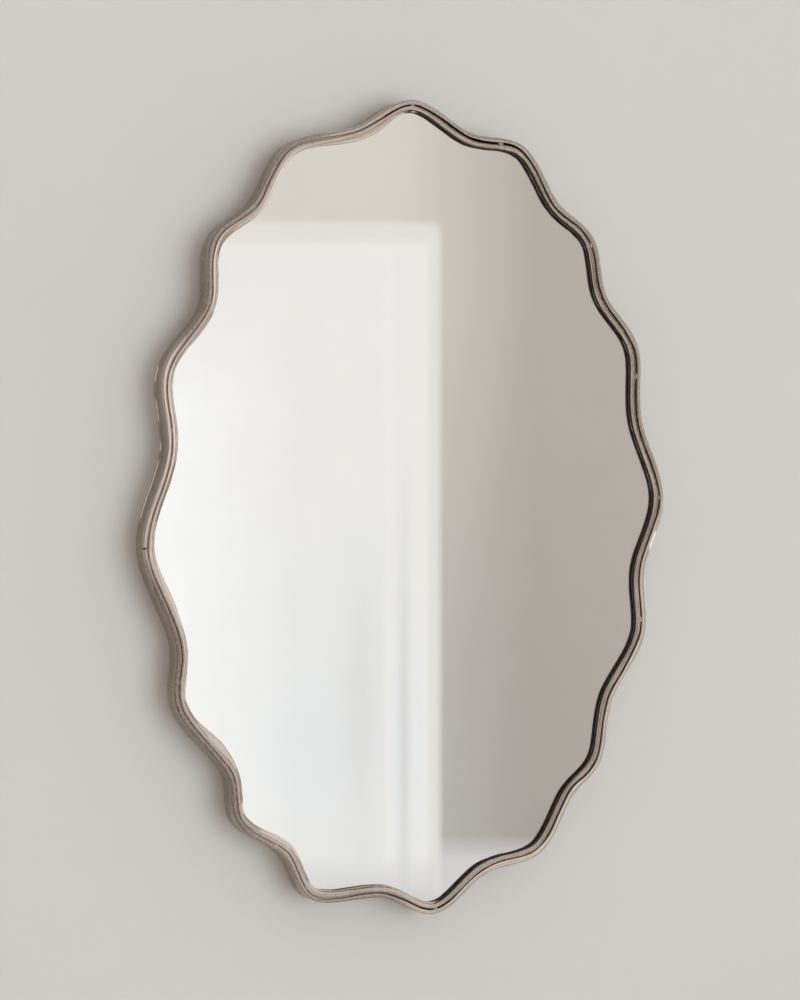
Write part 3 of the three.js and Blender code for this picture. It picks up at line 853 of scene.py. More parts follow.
def inner_bar_rows(looks):
    """The inner bar's section: a bead on the glass side, and a face that rises from it to a ridge."""
    bead = 1.3 * MM
    bead_top = 0.55 * MM
    valley = 1.05 * MM
    drop = 2.4 * MM
    # The recess numbers darken the inner wall and the groove's walls with patina and painted shade.
    rows = [
        (INNER_FACE + 0.3 * MM, INNER_DEPTH, 0.4, 0.0),
        (INNER_FACE, INNER_DEPTH - 0.3 * MM, 0.6, 0.0),
        (INNER_FACE, GLASS_BACK, 0.9, 0.0),
        (INNER_FACE, LIP_BACK, 1.0, 0.0),
        (INNER_FACE, 2.4 * MM, 0.95, 0.0),
        (INNER_FACE, 1.5 * MM, 0.80, 0.0),
    ]
    # The bead: a painted highlight on its top, painted shade under it and in the valley beside it.
    for angle in np.linspace(math.pi, 0.12 * math.pi, 11):
        cosine, sine = math.cos(angle), math.sin(angle)
        offset = INNER_FACE + bead / 2 * (1 + cosine)
        depth = bead_top + 0.75 * MM * (1 - sine)
        rows.append((offset, depth, 0.5 * max(0.0, -cosine - 0.5), max(0.0, sine) ** 2))
    rows[-1] = (INNER_FACE + bead, valley, 0.55, 0.0)
    edge = GROOVE_INNER + looks.overhang
    ridge = edge - 1.1 * MM
    ridge_depth = 0.12 * MM
    # The face: painted shade in its crease and a little painted highlight towards the ridge, then painted
    # shade growing down into the groove.
    for share in np.linspace(0, 1, 9)[1:]:
        crease = math.exp(-(((share - 0.62) / 0.12) ** 2))
        offset = INNER_FACE + bead + (ridge - INNER_FACE - bead) * share
        depth = valley + (ridge_depth - valley) * share**0.8
        rows.append((offset, depth + 0.12 * MM * crease, 0.12 + 0.30 * crease, 0.15 * share))
    for angle in np.linspace(math.pi / 2, 0, 9)[1:]:
        share = 1 - math.sin(angle)
        offset = ridge + (edge - ridge) * math.cos(angle)
        depth = ridge_depth + (drop - ridge_depth) * share
        rows.append((offset, depth, 0.15 + 0.45 * share, 0.0))
    rows += [
        (GROOVE_INNER + looks.overhang * 0.7, 3.0 * MM, 0.55, 0.0),
        (GROOVE_INNER, 4.2 * MM, 0.80, 0.0),
        (GROOVE_INNER, 6 * MM, 1.0, 0.0),
        (GROOVE_INNER, INNER_DEPTH * 0.6, 1.0, 0.0),
        (GROOVE_INNER, INNER_DEPTH - 0.3 * MM, 0.8, 0.0),
        (GROOVE_INNER - 0.3 * MM, INNER_DEPTH, 0.5, 0.0),
    ]
    return np.array(rows)


def groove_strays(stations, looks):
    """How far the groove strays from its line at the front: a column with a row for each station."""
    drift = along_waves(stations, GROOVE_DRIFT) * MM
    return drift + wobble(stations, GROOVE_SEED, 20, looks.wander)[:, None]


def bent_bar(name, node, rows, seed, looks):
    """One bar, carried along its quarter with the unevenness of hand bending."""
    stations = quarter_stations(node)
    offset, depth, recess, polish = rows.T
    outer = node.startswith("outer")
    groove_edge, far_edge = (GROOVE_OUTER, OUTER_FACE) if outer else (GROOVE_INNER, INNER_FACE)
    centre = rows[:, :2].mean(axis=0)
    on_front = depth < FRONT_DEPTH
    forward = np.clip(1 - depth / (4 * MM), 0, 1)
    across = (offset - centre[0]) / np.ptp(offset)
    by_groove = np.clip((offset - far_edge) / (groove_edge - far_edge), 0, 1)
    in_groove = (by_groove > 0.85) * (depth > FRONT_DEPTH) * (depth < 12 * MM)
    lean, swell, rise = (wobble(stations, seed + number, cycles, looks.wobble)[:, None]
                         for number, cycles in enumerate((40, 70, 55)))
    sections = carried(rows[:, :2], stations)
    sections[..., 0] += lean * forward + swell * across * forward
    sections[..., 1] += (rise + looks.wobble) * forward * 0.6
    if not outer:
        by_glass = (1 - by_groove) * np.clip(2.6 - depth / MM, 0, 1)
        sections[..., 0] -= BROAD_FACE_WIDENING * stretches(stations, BROAD_FACE, 0.3) * by_glass
    by_groove *= np.clip(1.5 - depth / (6 * MM), 0, 1)
    closed = stretches(stations, CLOSED_GROOVE, 0.12) * GROOVE_CLOSING
    closed -= stretches(stations, WIDE_GROOVE, 0.2) * GROOVE_WIDENING
    strays = groove_strays(stations, looks) + (-closed if outer else closed)
    sections[..., 0] += strays * by_groove
    ease_ends(sections, centre, 0.05 * MM)
    # Less of the groove's patina and painted shade where solder fills it and where it is left lighter.
    lightened_groove = GROOVE_LIGHTENING * stretches(stations, (SOLDERED, PALE_GROOVE), 0.5)
    recess = recess * (1 - lightened_groove * in_groove)
    recess[[0, -1]] = np.maximum(recess[[0, -1]], END_GRIME)
    values = {}
    if outer:
        # Painted highlight on the outer bar's ridge and painted shade on its nose, varied along the waves.
        polish = polish * np.where(on_front, along_waves(stations, RIDGE_HIGHLIGHT), 1.0)
        recess = np.maximum(recess, along_waves(stations, NOSE_SHADE) * on_front)
        seam = SEAM_GRIME * stretches(stations, SEAM)[END_SECTIONS] * on_front
        recess[END_SECTIONS] = np.maximum(recess[END_SECTIONS], seam)
        # A painted glint on the bead at the back and on the rim.
        back = (depth > OUTER_DEPTH - 3.2 * MM) * (offset > GROOVE_OUTER + 4 * MM)
        rim = np.clip((offset - OUTER_FACE + 2.3 * MM) / (0.3 * MM), 0, 1) * (depth < 2.7 * MM)
        for spans, part in ((GLINT_ON_BACK_BEAD, back), (GLINT_ON_RIM, rim)):
            glint = stretches(stations, spans) * part
            polish = np.maximum(polish, GLINT_LEVEL * glint)
            recess = recess * (1 - glint)
    else:
        # Painted shade on the inner bar's face towards the groove; below nothing a painted highlight
        # instead.
        darkening = along_waves(stations, FACE_SHADE)
        towards_groove = np.clip((offset - INNER_FACE - 1.6 * MM) / (1.8 * MM), 0, 1) * on_front
        recess = np.maximum(recess, FACE_GRIME + darkening * towards_groove)
        polish = np.maximum(polish, -darkening * (by_groove > 0.2) * on_front)
        # Painted highlight on the bead, and painted shade where that highlight is weak.
        on_bead = (offset < INNER_FACE + 1.2 * MM) * on_front
        bright = along_waves(stations, BEAD_HIGHLIGHT)
        bead_shade = BEAD_SHADE_DEPTH * np.clip(1 - bright, 0, 2)
        polish = np.where(on_bead, polish * bright, polish)
        recess = np.where(on_bead, np.maximum(recess, bead_shade), recess)
        edge = np.clip((INNER_FACE + 1.4 * MM - offset) / (0.4 * MM), 0, 1) * (depth < 2 * MM)
        values["rope"] = stretches(stations, ROPE_EDGE) * edge
    values.update(recess=recess, polish=polish)
    return new_piece(name, loft(name, along_line(stations, sections), values=values))


def lip_width(stations, node):
    """The offset of the lip's free edge at each station, measured on the frame's lip."""
    found = line.offsets_of(node)
    edge = found[found[:, 1] < found[:, 1].max() - 1 * MM]
    start = stations[0]
    relative = (edge[:, 0] - start + line.count / 2) % line.count - line.count / 2
    order = np.argsort(relative)
    return np.interp(stations - start, relative[order], edge[order, 1])


def rolled_lip(name, node, seed, looks):
    """The lip in front of the glass: a thin strip with a round free edge, welded to the inner bar."""
    stations = quarter_stations(node)
    edge = lip_width(stations, node) + wobble(stations, seed, 60, 1.6 * looks.wobble)
    middle = (LIP_FRONT + LIP_BACK) / 2
    radius = (LIP_BACK - LIP_FRONT) / 2
    flat = INNER_FACE - edge - radius
    # Painted shade under the free edge and towards the inner bar, and a painted highlight on the edge's
    # front.
    rows = [(INNER_FACE, LIP_BACK, 1.0, 0.0)]
    for angle in np.linspace(-math.pi / 2, math.pi / 2, 9):
        free_edge = edge + radius * (1 - math.cos(angle))
        sine = math.sin(angle)
        rows.append((free_edge, middle - radius * sine, 0.55 if angle < 0 else 0.1, 0.6 * max(0.0, sine)))
    for share, dark in ((0.35, 0.05), (0.7, 0.30), (0.9, 0.75)):
        rows.append((edge + radius + flat * share, LIP_FRONT, dark, 0.0))
    rows.append((INNER_FACE, LIP_FRONT - 0.35 * MM, 1.0, 0.0))
    rows = np.array([[part + 0 * edge for part in row] for row in rows])
    offset, depth, recess, polish = rows.transpose(1, 2, 0)
    # Painted shade on the lip along its shaded stretches and by the table of waves; where the lip is wide
    # it gets less shade and a painted highlight.
    dark = stretches(stations, SHADED_LIP, 0.12)
    darkening = along_waves(stations, LIP_SHADE)
    wide = np.clip((INNER_FACE - edge - 2.4 * MM) / (1.0 * MM), 0, 1)[:, None]
    on_flat = recess < 0.5
    dimmed = np.maximum(recess * (1 - 0.7 * wide), darkening * (1 - wide))
    values = {
        "recess": np.maximum(dimmed, 1.2 * dark),
        "polish": np.maximum(polish, 0.35 * wide * on_flat) * (1 - dark),
        "rope": stretches(stations, ROPE_EDGE) * on_flat * (1 - wide),
    }
    sections = np.stack([offset, depth], axis=2)
    return new_piece(name, loft(name, along_line(stations, sections), values=values))


def swelling(steps, corners, fullness, least):
    """The round of a weld bead from end to end: places from -1 to 1, girths, and angles round it."""
    turn = np.linspace(-math.pi / 2, math.pi / 2, steps)[:, None]
    girth = np.maximum(least, np.cos(turn)) ** fullness
    return np.sin(turn), girth, np.linspace(0, math.tau, corners, endpoint=False)


def bead_mesh(name, station, half_length, half_width, front, seed, drift):
    """A weld bead across the groove: a rounded blob with ripples along it and a rough skin."""
    phase = np.random.default_rng(seed).uniform(0, math.tau, 3)
    at, girth, angle = swelling(25, 24, 0.45, 0.02)
    ripple = 1 + 0.09 * np.sin(at * 11 + phase[0])
    lump = 1 + 0.10 * np.sin(2 * angle + phase[1]) * np.sin(3 * at + phase[2])
    across = half_width * girth * np.cos(angle) * lump
    deep = (WELD_BACK - front) / 2 * girth * ripple * np.sin(angle) * np.where(angle > math.pi, lump, 1)
    sections = np.stack([GROOVE_MIDDLE + drift + across, (front + WELD_BACK) / 2 + deep], axis=2)
    places = station + line.stretch(station, half_length * at[:, 0])
    return loft(name, along_line(places, sections))


def add_bars(kind, rows, seed):
    """The four bent bars of a kind, each with seeds of its own."""
    for number, quarter in enumerate(QUARTERS):
        node = f"{kind}_{quarter}"
        bar = bent_bar("bent_" + node, node, rows, seed + number, bpy.context.scene.mirror_frame_looks)
        dress(bar, nickel_finish(), "frame_nickel", "mirror", node)


# ---- operators


class MIRROR_OT_outer_bars(Operator):
    """Build the four outer bars with their round noses"""

    bl_idname = "wavy_mirror.outer_bars"
    bl_label = "Outer bars"

    def execute(self, context):
        add_bars("outer_bar", outer_bar_rows(context.scene.mirror_frame_looks), OUTER_BAR_SEED)
        return {"FINISHED"}


class MIRROR_OT_inner_bars(Operator):
    """Build the four inner bars with their beads and rolled faces"""

    bl_idname = "wavy_mirror.inner_bars"
    bl_label = "Inner bars"

    def execute(self, context):
        add_bars("inner_bar", inner_bar_rows(context.scene.mirror_frame_looks), INNER_BAR_SEED)
        return {"FINISHED"}


class MIRROR_OT_lips(Operator):
    """Build the lip that the glass lies against"""

    bl_idname = "wavy_mirror.lips"
    bl_label = "Glass lips"

    def execute(self, context):
        looks = context.scene.mirror_frame_looks
        for number, quarter in enumerate(QUARTERS):
            node = "glass_lip_" + quarter
            lip = rolled_lip("rolled_" + node, node, LIP_SEED + number, looks)
            dress(lip, nickel_finish(), "frame_nickel", "mirror", node)
        return {"FINISHED"}


class MIRROR_OT_welds(Operator):
    """Build the weld beads across the groove"""

    bl_idname = "wavy_mirror.welds"
    bl_label = "Weld beads"

    def execute(self, context):
        half_width = (GROOVE_OUTER - GROOVE_INNER) / 2 + WELD_OVERLAP
        for number, node in enumerate(nodes_named("weld_tie_", "joint_tie_")):
            station = line.nearest(*middle_of(node))
            half_length = WELD_HALF_LENGTH + WELD_VARIATION * math.sin(number * 2.4)
            if node.startswith("joint_tie_"):
                half_length = JOINT_WELD_HALF_LENGTH
            front = LOW_WELD_FRONT if node == "joint_tie_left" else WELD_FRONT
            drift = groove_strays([station], context.scene.mirror_frame_looks).item()
            name = node.replace("weld_tie", "weld_bead").replace("joint_tie", "joint_weld")
            mesh = bead_mesh(name, station, half_length, half_width, front, WELD_SEED + number, drift)
            dress(new_piece(name, mesh, 60), weld_finish(), "weld_nickel", "mirror", node)
        return {"FINISHED"}


class MIRROR_OT_solder(Operator):
    """Run a line of solder along the groove where the two bars stand closest"""

    bl_idname = "wavy_mirror.solder"
    bl_label = "Solder line"

    def execute(self, context):
        looks = context.scene.mirror_frame_looks
        first, last = (wave * STATIONS_PER_WAVE for wave in SOLDERED)
        stations = np.linspace(first, last, int((last - first) * STEPS_PER_STATION))
        row = np.array([(-1.5, 3.2), (-0.9, 2.45), (-0.3, 2.2), (0.3, 2.2), (0.9, 2.45), (1.5, 3.2),
                        (1.2, 4.6), (-1.2, 4.6)]) * MM
        sections = carried(row, stations)
        sections[..., 0] += GROOVE_MIDDLE + groove_strays(stations, looks)
        from_end = np.minimum(stations - first, last - stations) / STATIONS_PER_WAVE
        sunk = 3 * MM * (1 - np.clip(from_end / 0.5, 0, 1)) + wobble(stations, SOLDER_SEED, 90, 0.25 * MM)
        sections[..., 1] += sunk[:, None]
        bead = new_piece("solder_line", loft("solder_line", along_line(stations, sections)))
        dress(bead, weld_finish(), "weld_nickel", "mirror")
        return {"FINISHED"}


class MIRROR_OT_glass(Operator):
    """Build the glass pane and the silver behind it"""

    bl_idname = "wavy_mirror.glass"
    bl_label = "Glass and silver"

    def execute(self, context):
        outline, _ = line.at(ALL_ROUND)
        silver_depth = 0.15 * MM
        pane = plate("glass_pane", [outline], GLASS_FRONT, GLASS_BACK - silver_depth, 0.2 * MM)
        glass = clear_glass("clear_float_glass")
        dress(new_piece("glass_pane", pane), glass, "silvered_glass", "mirror", "mirror_glass")
        gap = 0.01 * MM
        coat = plate("silver_coat", [outline], GLASS_BACK - silver_depth + gap, GLASS_BACK, 0.03 * MM)
        dress(new_piece("silver_coat", coat), silver_coat("silver_coat"), "silvered_glass", "mirror")
        return {"FINISHED"}


class MIRROR_OT_foam(Operator):
    """Build the foam strip between lip and glass"""

    bl_idname = "wavy_mirror.foam"
    bl_label = "Foam seal"

    def execute(self, context):
        low, high = offset_range("foam_seal")
        front, back = depth_range("foam_seal")
        ease = 0.15 * MM
        row = [(low, front + ease), (low + ease, front), (high - ease, front), (high, front + ease),
               (high, back - ease), (high - ease, back), (low + ease, back), (low, back - ease)]
        sections = carried(row, ALL_ROUND)
        sections[..., 0] += wobble(ALL_ROUND, FOAM_SEED, 50, 0.15 * MM)[:, None]
        mesh = loft("foam_strip", along_line(ALL_ROUND, sections), closed=True)
        dress(new_piece("foam_strip", mesh), seal_foam("closed_cell_foam"), "foam", "mirror", "foam_seal")
        return {"FINISHED"}


def circle(x, z, radius):
    """A closed row of points (x, z) round a centre."""
    angles = np.linspace(0, math.tau, 32, endpoint=False)
    return np.stack([x + radius * np.cos(angles), z + radius * np.sin(angles)], axis=1)


def nodes_named(*starts):
    """The frame's nodes whose names start like one of these, in order of their names."""
    return sorted(node for node in frame["nodes"] if node.startswith(starts))


def middle_of(node):
    """The middle (x, z) of a node."""
    low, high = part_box(node)
    return (low.x + high.x) / 2, (low.z + high.z) / 2


def screw_places():
    """The middle (x, z) of every screw in the board."""
    return {node: middle_of(node) for node in frame["nodes"] if "_screw_" in node}


class MIRROR_OT_board(Operator):
    """Build the backing board with its pilot holes"""

    bl_idname = "wavy_mirror.board"
    bl_label = "Backing board"

    def execute(self, context):
        points, normals = line.at(ALL_ROUND)
        outline = points + normals * offset_range("backing_board")[1]
        holes = [circle(x, z, PILOT_HOLE) for x, z in screw_places().values()]
        mesh = plate("fibre_board", [outline, *holes], *depth_range("backing_board"), 0.6 * MM)
        board = fibreboard("pressed_fibreboard")
        dress(new_piece("fibre_board", mesh), board, "fibreboard", "mirror", "backing_board")
        return {"FINISHED"}


def tab_shape(node):
    """A tab's outline, and the middle, outward way and sideways way of its root on the inner bar."""
    screw = np.array(screw_places()[node.replace("board_tab", "tab_screw")])
    corners = np.unique(np.round(corners_of(node)[:, [0, 2]], 6), axis=0)
    root = corners[np.argsort(np.linalg.norm(corners - screw, axis=1))[-2:]]
    start = root.mean(axis=0)
    out = (start - screw) / np.linalg.norm(start - screw)
    side = np.array([out[1], -out[0]])
    half = float(np.linalg.norm(root[1] - root[0])) / 2
    centre = start + out * (((corners - start) @ out).min() + half)
    round_end = [centre - out * half * math.sin(angle) + side * half * math.cos(angle)
                 for angle in np.linspace(0, math.pi, 25)]
    outline = np.array([start - side * half, start + side * half, *round_end])
    return [outline, circle(*screw, TAB_HOLE)], start, out, side


class MIRROR_OT_tabs(Operator):
    """Build the tabs that keep the board in, with the welds at their roots"""

    bl_idname = "wavy_mirror.tabs"
    bl_label = "Board tabs"

    def execute(self, context):
        for number, node in enumerate(nodes_named("board_tab_")):
            front, back = depth_range(node)
            loops, start, out, side = tab_shape(node)
            mesh = plate("welded_" + node, loops, front, back, 0.25 * MM)
            dress(new_piece("welded_" + node, mesh, 50), nickel_finish(), "frame_nickel", "mirror", node)
            name = node.replace("board_tab_", "root_weld_")
            bead = tab_weld(name, start, out, side, back, TAB_WELD_SEED + number)
            dress(bead, weld_finish(), "weld_nickel", "mirror")
        return {"FINISHED"}


def tab_weld(name, start, out, side, depth, seed):
    """A bead of weld along the root of a tab, over the back of the inner bar."""
    phase = np.random.default_rng(seed).uniform(0, math.tau, 2)
    at, girth, angle = swelling(41, 16, 0.5, 0.03)
    girth = girth * (1 + 0.12 * np.sin(at * 24 + phase[0]))
    along = 8.5 * MM * at
    across = 0.3 * MM * np.sin(3 * at + phase[1]) + 1.7 * MM * girth * np.cos(angle)
    y = FRONT + depth - 0.9 * MM + 1.5 * MM * girth * np.sin(angle)
    x, z = (start[i] + side[i] * along + out[i] * across for i in (0, 1))
    return new_piece(name, loft(name, np.stack([x, y, z], axis=2)), 60)


def screw_mesh(name, node, turn):
    """A pan-head screw with a cross recess, and its thread in the board."""
    low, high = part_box(node)
    x, z = middle_of(node)
    head, shank, pitch = (high.x - low.x) / 2, 1.6 * MM, 0.5 * MM
    crown, tip = high.y - FRONT, low.y - FRONT
    seat = crown - 1.8 * MM
    arm, half_arm, sink = 1.9 * MM, 0.5 * MM, 1.1 * MM
    angles = np.linspace(0, math.tau, 72, endpoint=False)
    radius = np.linspace(0, head * 0.94, 30)[:, None]
    px, pz = np.abs(radius * np.cos(angles)), np.abs(radius * np.sin(angles))
    along = np.maximum(px / arm, pz / half_arm)
    across = np.maximum(pz / arm, px / half_arm)
    in_cross = np.clip((1.12 - np.minimum(along, across)) / 0.24, 0, 1)
    dome = crown - 0.9 * MM * (radius / head) ** 2.6
    top = dome - sink * in_cross * (1 - 0.3 * radius / arm)
    below = [(head, crown - 1.1 * MM), (head, crown - 1.4 * MM), (head * 0.95, seat), (shank, seat)]
    for turns in range(int((seat - tip - 2.5 * MM) / pitch)):
        depth = seat - pitch * (turns + 0.5)
        below += [(shank * 0.76, depth + 0.12 * MM), (shank, depth - 0.12 * MM)]
    below += [(shank * 0.7, tip + 2.3 * MM), (0.05 * MM, tip)]
    below_radius, below_depth = np.array(below).T[..., None]
    radius = np.concatenate([radius, below_radius])
    y = FRONT + np.concatenate([top, np.repeat(below_depth, len(angles), axis=1)])
    spun = angles + turn
    rings = np.stack([x + radius * np.cos(spun), y, z + radius * np.sin(spun)], axis=2)
    return loft(name, rings, weld=True)


class MIRROR_OT_screws(Operator):
    """Build the pan-head screws with their cross recesses"""

    bl_idname = "wavy_mirror.screws"
    bl_label = "Screws"

    def execute(self, context):
        for number, node in enumerate(sorted(screw_places())):
            mesh = screw_mesh("cross_" + node, node, 0.7 + 1.9 * number)
            dress(new_piece(mesh.name, mesh, 40), zinc_finish(), "zinc", "mirror", node)
        return {"FINISHED"}


def rounded_strip(width, thick):
    """The section of a strip with eased edges, rows of (across, through)."""
    ease = 0.3 * MM
    rows = []
    for side, face, start in ((1, 1, 0), (-1, 1, 90), (-1, -1, 180), (1, -1, 270)):
        for angle in np.radians(np.linspace(start, start + 90, 4)):
            across = side * (width / 2 - ease) + ease * math.cos(angle)
            rows.append((across, face * (thick / 2 - ease) + ease * math.sin(angle)))
    return np.array(rows)


def strap_piece(name, node, pivot):
    """A strap: a plate with a round end that rolls round the ring's bar."""
    low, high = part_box(node)
    thick, corner, roll_degrees = 1.5 * MM, 4 * MM, 312
    radius = pivot.y - low.y - thick / 2
    path = [(low.y + thick / 2, z) for z in np.linspace(low.z, pivot.z, 40)]
    for angle in np.radians(np.linspace(0, roll_degrees, 60))[1:]:
        path.append((pivot.y - radius * math.cos(angle), pivot.z + radius * math.sin(angle)))
    path = np.array(path)
    steps = np.gradient(path, axis=0)
    steps /= np.linalg.norm(steps, axis=1, keepdims=True)
    rings = []
    for (y, z), (ty, tz) in zip(path, steps):
        from_end = z - low.z if y < low.y + thick else corner
        narrow = corner - math.sqrt(max(0.0, corner**2 - (corner - min(from_end, corner)) ** 2))
        section = rounded_strip(high.x - low.x - 2 * min(narrow, corner - 0.3 * MM), thick)
        rings.append([(pivot.x + a, y - tz * t, z + ty * t) for a, t in section])
    return new_piece(name, loft(name, rings), 40)


def ring_path(half, bow):
    """The middle of a D-shaped ring's wire from its bar, which is at 0, down to a bow round (0, bow)."""
    corner = 3.5 * MM
    quarter_turn = math.pi / 2
    points = [(x, 0) for x in np.linspace(0, half - corner, 12)]
    points += [(half - corner + corner * math.sin(a), -corner + corner * math.cos(a))
               for a in np.linspace(0, quarter_turn, 12)[1:]]
    points += [(half, z) for z in np.linspace(-corner, bow, 6)[1:]]
    points += [(half * math.cos(a), bow - half * math.sin(a)) for a in np.linspace(0, quarter_turn, 24)[1:]]
    return np.array(points + [(-x, z) for x, z in points[-2:0:-1]])


def ring_piece(name, node, pivot):
    """The D-shaped hanging ring, of round wire."""
    low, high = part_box(node)
    wire = (high.y - low.y) / 2
    half = (high.x - low.x) / 2 - wire
    flat = ring_path(half, low.z + wire + half - pivot.z)
    steps = np.roll(flat, -1, axis=0) - np.roll(flat, 1, axis=0)
    steps /= np.linalg.norm(steps, axis=1, keepdims=True)
    angle = np.linspace(0, math.tau, 20, endpoint=False)
    across, through = wire * np.cos(angle), wire * np.sin(angle)
    x = pivot.x + flat[:, :1] - steps[:, 1:] * across
    z = pivot.z + flat[:, 1:] + steps[:, :1] * across
    rings = np.stack([x, np.broadcast_to(pivot.y + through, x.shape), z], axis=2)
    return new_piece(name, loft(name, rings, closed=True), 40)


class MIRROR_OT_hangers(Operator):
    """Build the two strap hangers and their swinging rings"""

    bl_idname = "wavy_mirror.hangers"
    bl_label = "Hangers"

    def execute(self, context):
        pivots = {joint["child"]: Vector(joint["pos_m"]) for joint in frame["joints"]}
        for side in SIDES:
            pivot = pivots["ring_" + side]
            strap = strap_piece("rolled_strap_" + side, "hanger_strap_" + side, pivot)
            dress(strap, zinc_finish(), "zinc", "mirror", "hanger_strap_" + side)
            ring = ring_piece("wire_ring_" + side, "hanging_ring_" + side, pivot)
            dress(ring, zinc_finish(), "zinc", "ring_" + side, "hanging_ring_" + side)
        return {"FINISHED"}


def foot_profile(base, tall):
    """Half of a foot's outline, rows of (radius, height): a flange, a cone and a hollow end."""
    end = 6 * MM
    low = [(0, 0), (base - 0.3 * MM, 0), (base, 0.3 * MM), (base, 1.2 * MM),
           (base - 0.5 * MM, 1.7 * MM), (end + 0.5 * MM, tall - 1.6 * MM)]
    shoulder = [(end - 0.6 * MM + 0.9 * MM * math.cos(angle), tall - 1.0 * MM + 1.0 * MM * math.sin(angle))
                for angle in np.radians(np.linspace(10, 90, 6))]
    hollow = [(3.6 * MM, tall), (3.2 * MM, tall - 0.4 * MM), (1.6 * MM, tall - 1.2 * MM),
              (0, tall - 1.4 * MM)]
    return low + shoulder + hollow


class MIRROR_OT_feet(Operator):
    """Build the rubber feet that rest on the wall"""

    bl_idname = "wavy_mirror.feet"
    bl_label = "Wall feet"

    def execute(self, context):
        rubber = foot_rubber("moulded_rubber")
        for node in nodes_named("wall_foot_"):
            low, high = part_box(node)
            x, z = middle_of(node)
            profile = foot_profile((high.x - low.x) / 2, high.y - low.y)
            mesh = turned("rubber_" + node, profile, 64, (x, low.y, z))
            dress(new_piece(mesh.name, mesh, 40), rubber, "rubber", "mirror", node)
        return {"FINISHED"}


# ---- the stage


# Half the width of the stage and half its length, the height of the wall's top and of the floor,
# and how far the opening behind the mirror lies in from the glass's edge.
STAGE_HALF_WIDTH, STAGE_HALF_LENGTH = 7.0, 9.0
WALL_TOP, FLOOR_LEVEL = 4.0, -1.45
OPENING_INSET = 12 * MM


def open_wall(wide, top, floor):
    """Corners and faces of a wall that faces the room, open behind the mirror so that light gets in."""
    points, normals = line.at(np.arange(line.count))
    edge = points - normals * OPENING_INSET
    reach = np.max([np.abs(edge[:, 0]) / wide, edge[:, 1] / top, edge[:, 1] / floor], axis=0)
    corners = [(x, WALL, z) for x, z in np.concatenate([edge, edge / reach[:, None]])]
    count = line.count
    nexts = [(i + 1) % count for i in range(count)]
    return corners, [(i, j, count + j, count + i) for i, j in enumerate(nexts)]


def rectangle(half_x, half_y, z):
    """Corners and the one face of a level rectangle."""
    signs = ((-1, -1), (1, -1), (1, 1), (-1, 1))
    return [(half_x * x, half_y * y, z) for x, y in signs], [(0, 1, 2, 3)]


def stage_piece(name, corners, faces, material):
    """A flat piece of the stage."""
    mesh = bpy.data.meshes.new(name)
    mesh.from_pydata(corners, [], faces)
    mesh.materials.append(material)
    plane = link(name, mesh)
    return plane


def wall_paint(name, colour):
    """Matt wall paint with a fine roller texture, clear when seen from behind the wall."""
    finish = Finish(name)
    tone = finish.mottled(finish.noise(2.2, 2.0), colour, 0.975, 1.02)
    finish.set(Base_Color=tone, Roughness=0.9, Normal=finish.bump(finish.noise(260, 4.0), 0.12 * MM, 0.4))
    behind = finish.node("ShaderNodeNewGeometry").outputs["Backfacing"]
    return finish.surface(finish.blend(behind, finish.shader.outputs[0], finish.clear()))


def floor_paint(name, colour):
    """A plain pale floor."""
    finish = Finish(name)
    return finish.set(
        Base_Color=finish.mottled(finish.noise(3), colour, 0.97, 1.02),
        Roughness=0.8, Normal=finish.bump(finish.noise(160), 0.1 * MM, 0.3),
    )


# What the mirror shows: soft panels in front of it to the right, where the glass looks for the
# camera. Each is a middle and half size across and up in metres on a screen, a softness and a level.
SCREEN_DISTANCE = 6.0
SCREEN_HALF_SIZE = (2.6, 2.6)
SCREEN_FADES_FROM = (1.5, 1.7)
LOW_FIELD = (0.39, 0.362, 0.335)
HIGH_FIELD = (0.50, 0.455, 0.41)
LOW_PALE_FIELD = (0.58, 0.56, 0.53)
PALE_FIELD = (0.73, 0.70, 0.63)
SCREEN_PANELS = (
    ((1.05, -0.10), (0.45, 1.20), (0.35, 0.35), (0.50, 0.46, 0.42)),
    ((0.60, -1.50), (0.55, 0.38), (0.05, 0.04), (0.69, 0.685, 0.68)),
    ((-0.53, -0.20), (0.65, 1.08), (0.025, 0.025), (0.90, 0.885, 0.86)),
    ((-0.53, -0.80), (0.62, 0.48), (0.05, 0.45), (0.86, 0.88, 0.885)),
    ((-0.80, -0.50), (0.28, 1.00), (0.20, 0.20), (1.01, 1.01, 1.00)),
    ((-0.12, -0.70), (0.06, 0.42), (0.06, 0.30), (0.79, 0.795, 0.79)),
    ((0.02, -0.75), (0.014, 0.50), (0.014, 0.45), (0.73, 0.73, 0.725)),
    ((-0.03, -0.20), (0.010, 1.00), (0.012, 0.05), (0.92, 0.905, 0.88)),
    ((0.115, -0.20), (0.016, 1.07), (0.016, 0.03), (0.84, 0.82, 0.79)),
    ((-0.53, 0.86), (0.64, 0.030), (0.02, 0.015), (0.83, 0.81, 0.765)),
    ((-0.53, -1.40), (0.66, 0.18), (0.03, 0.08), (0.68, 0.665, 0.66)),
)


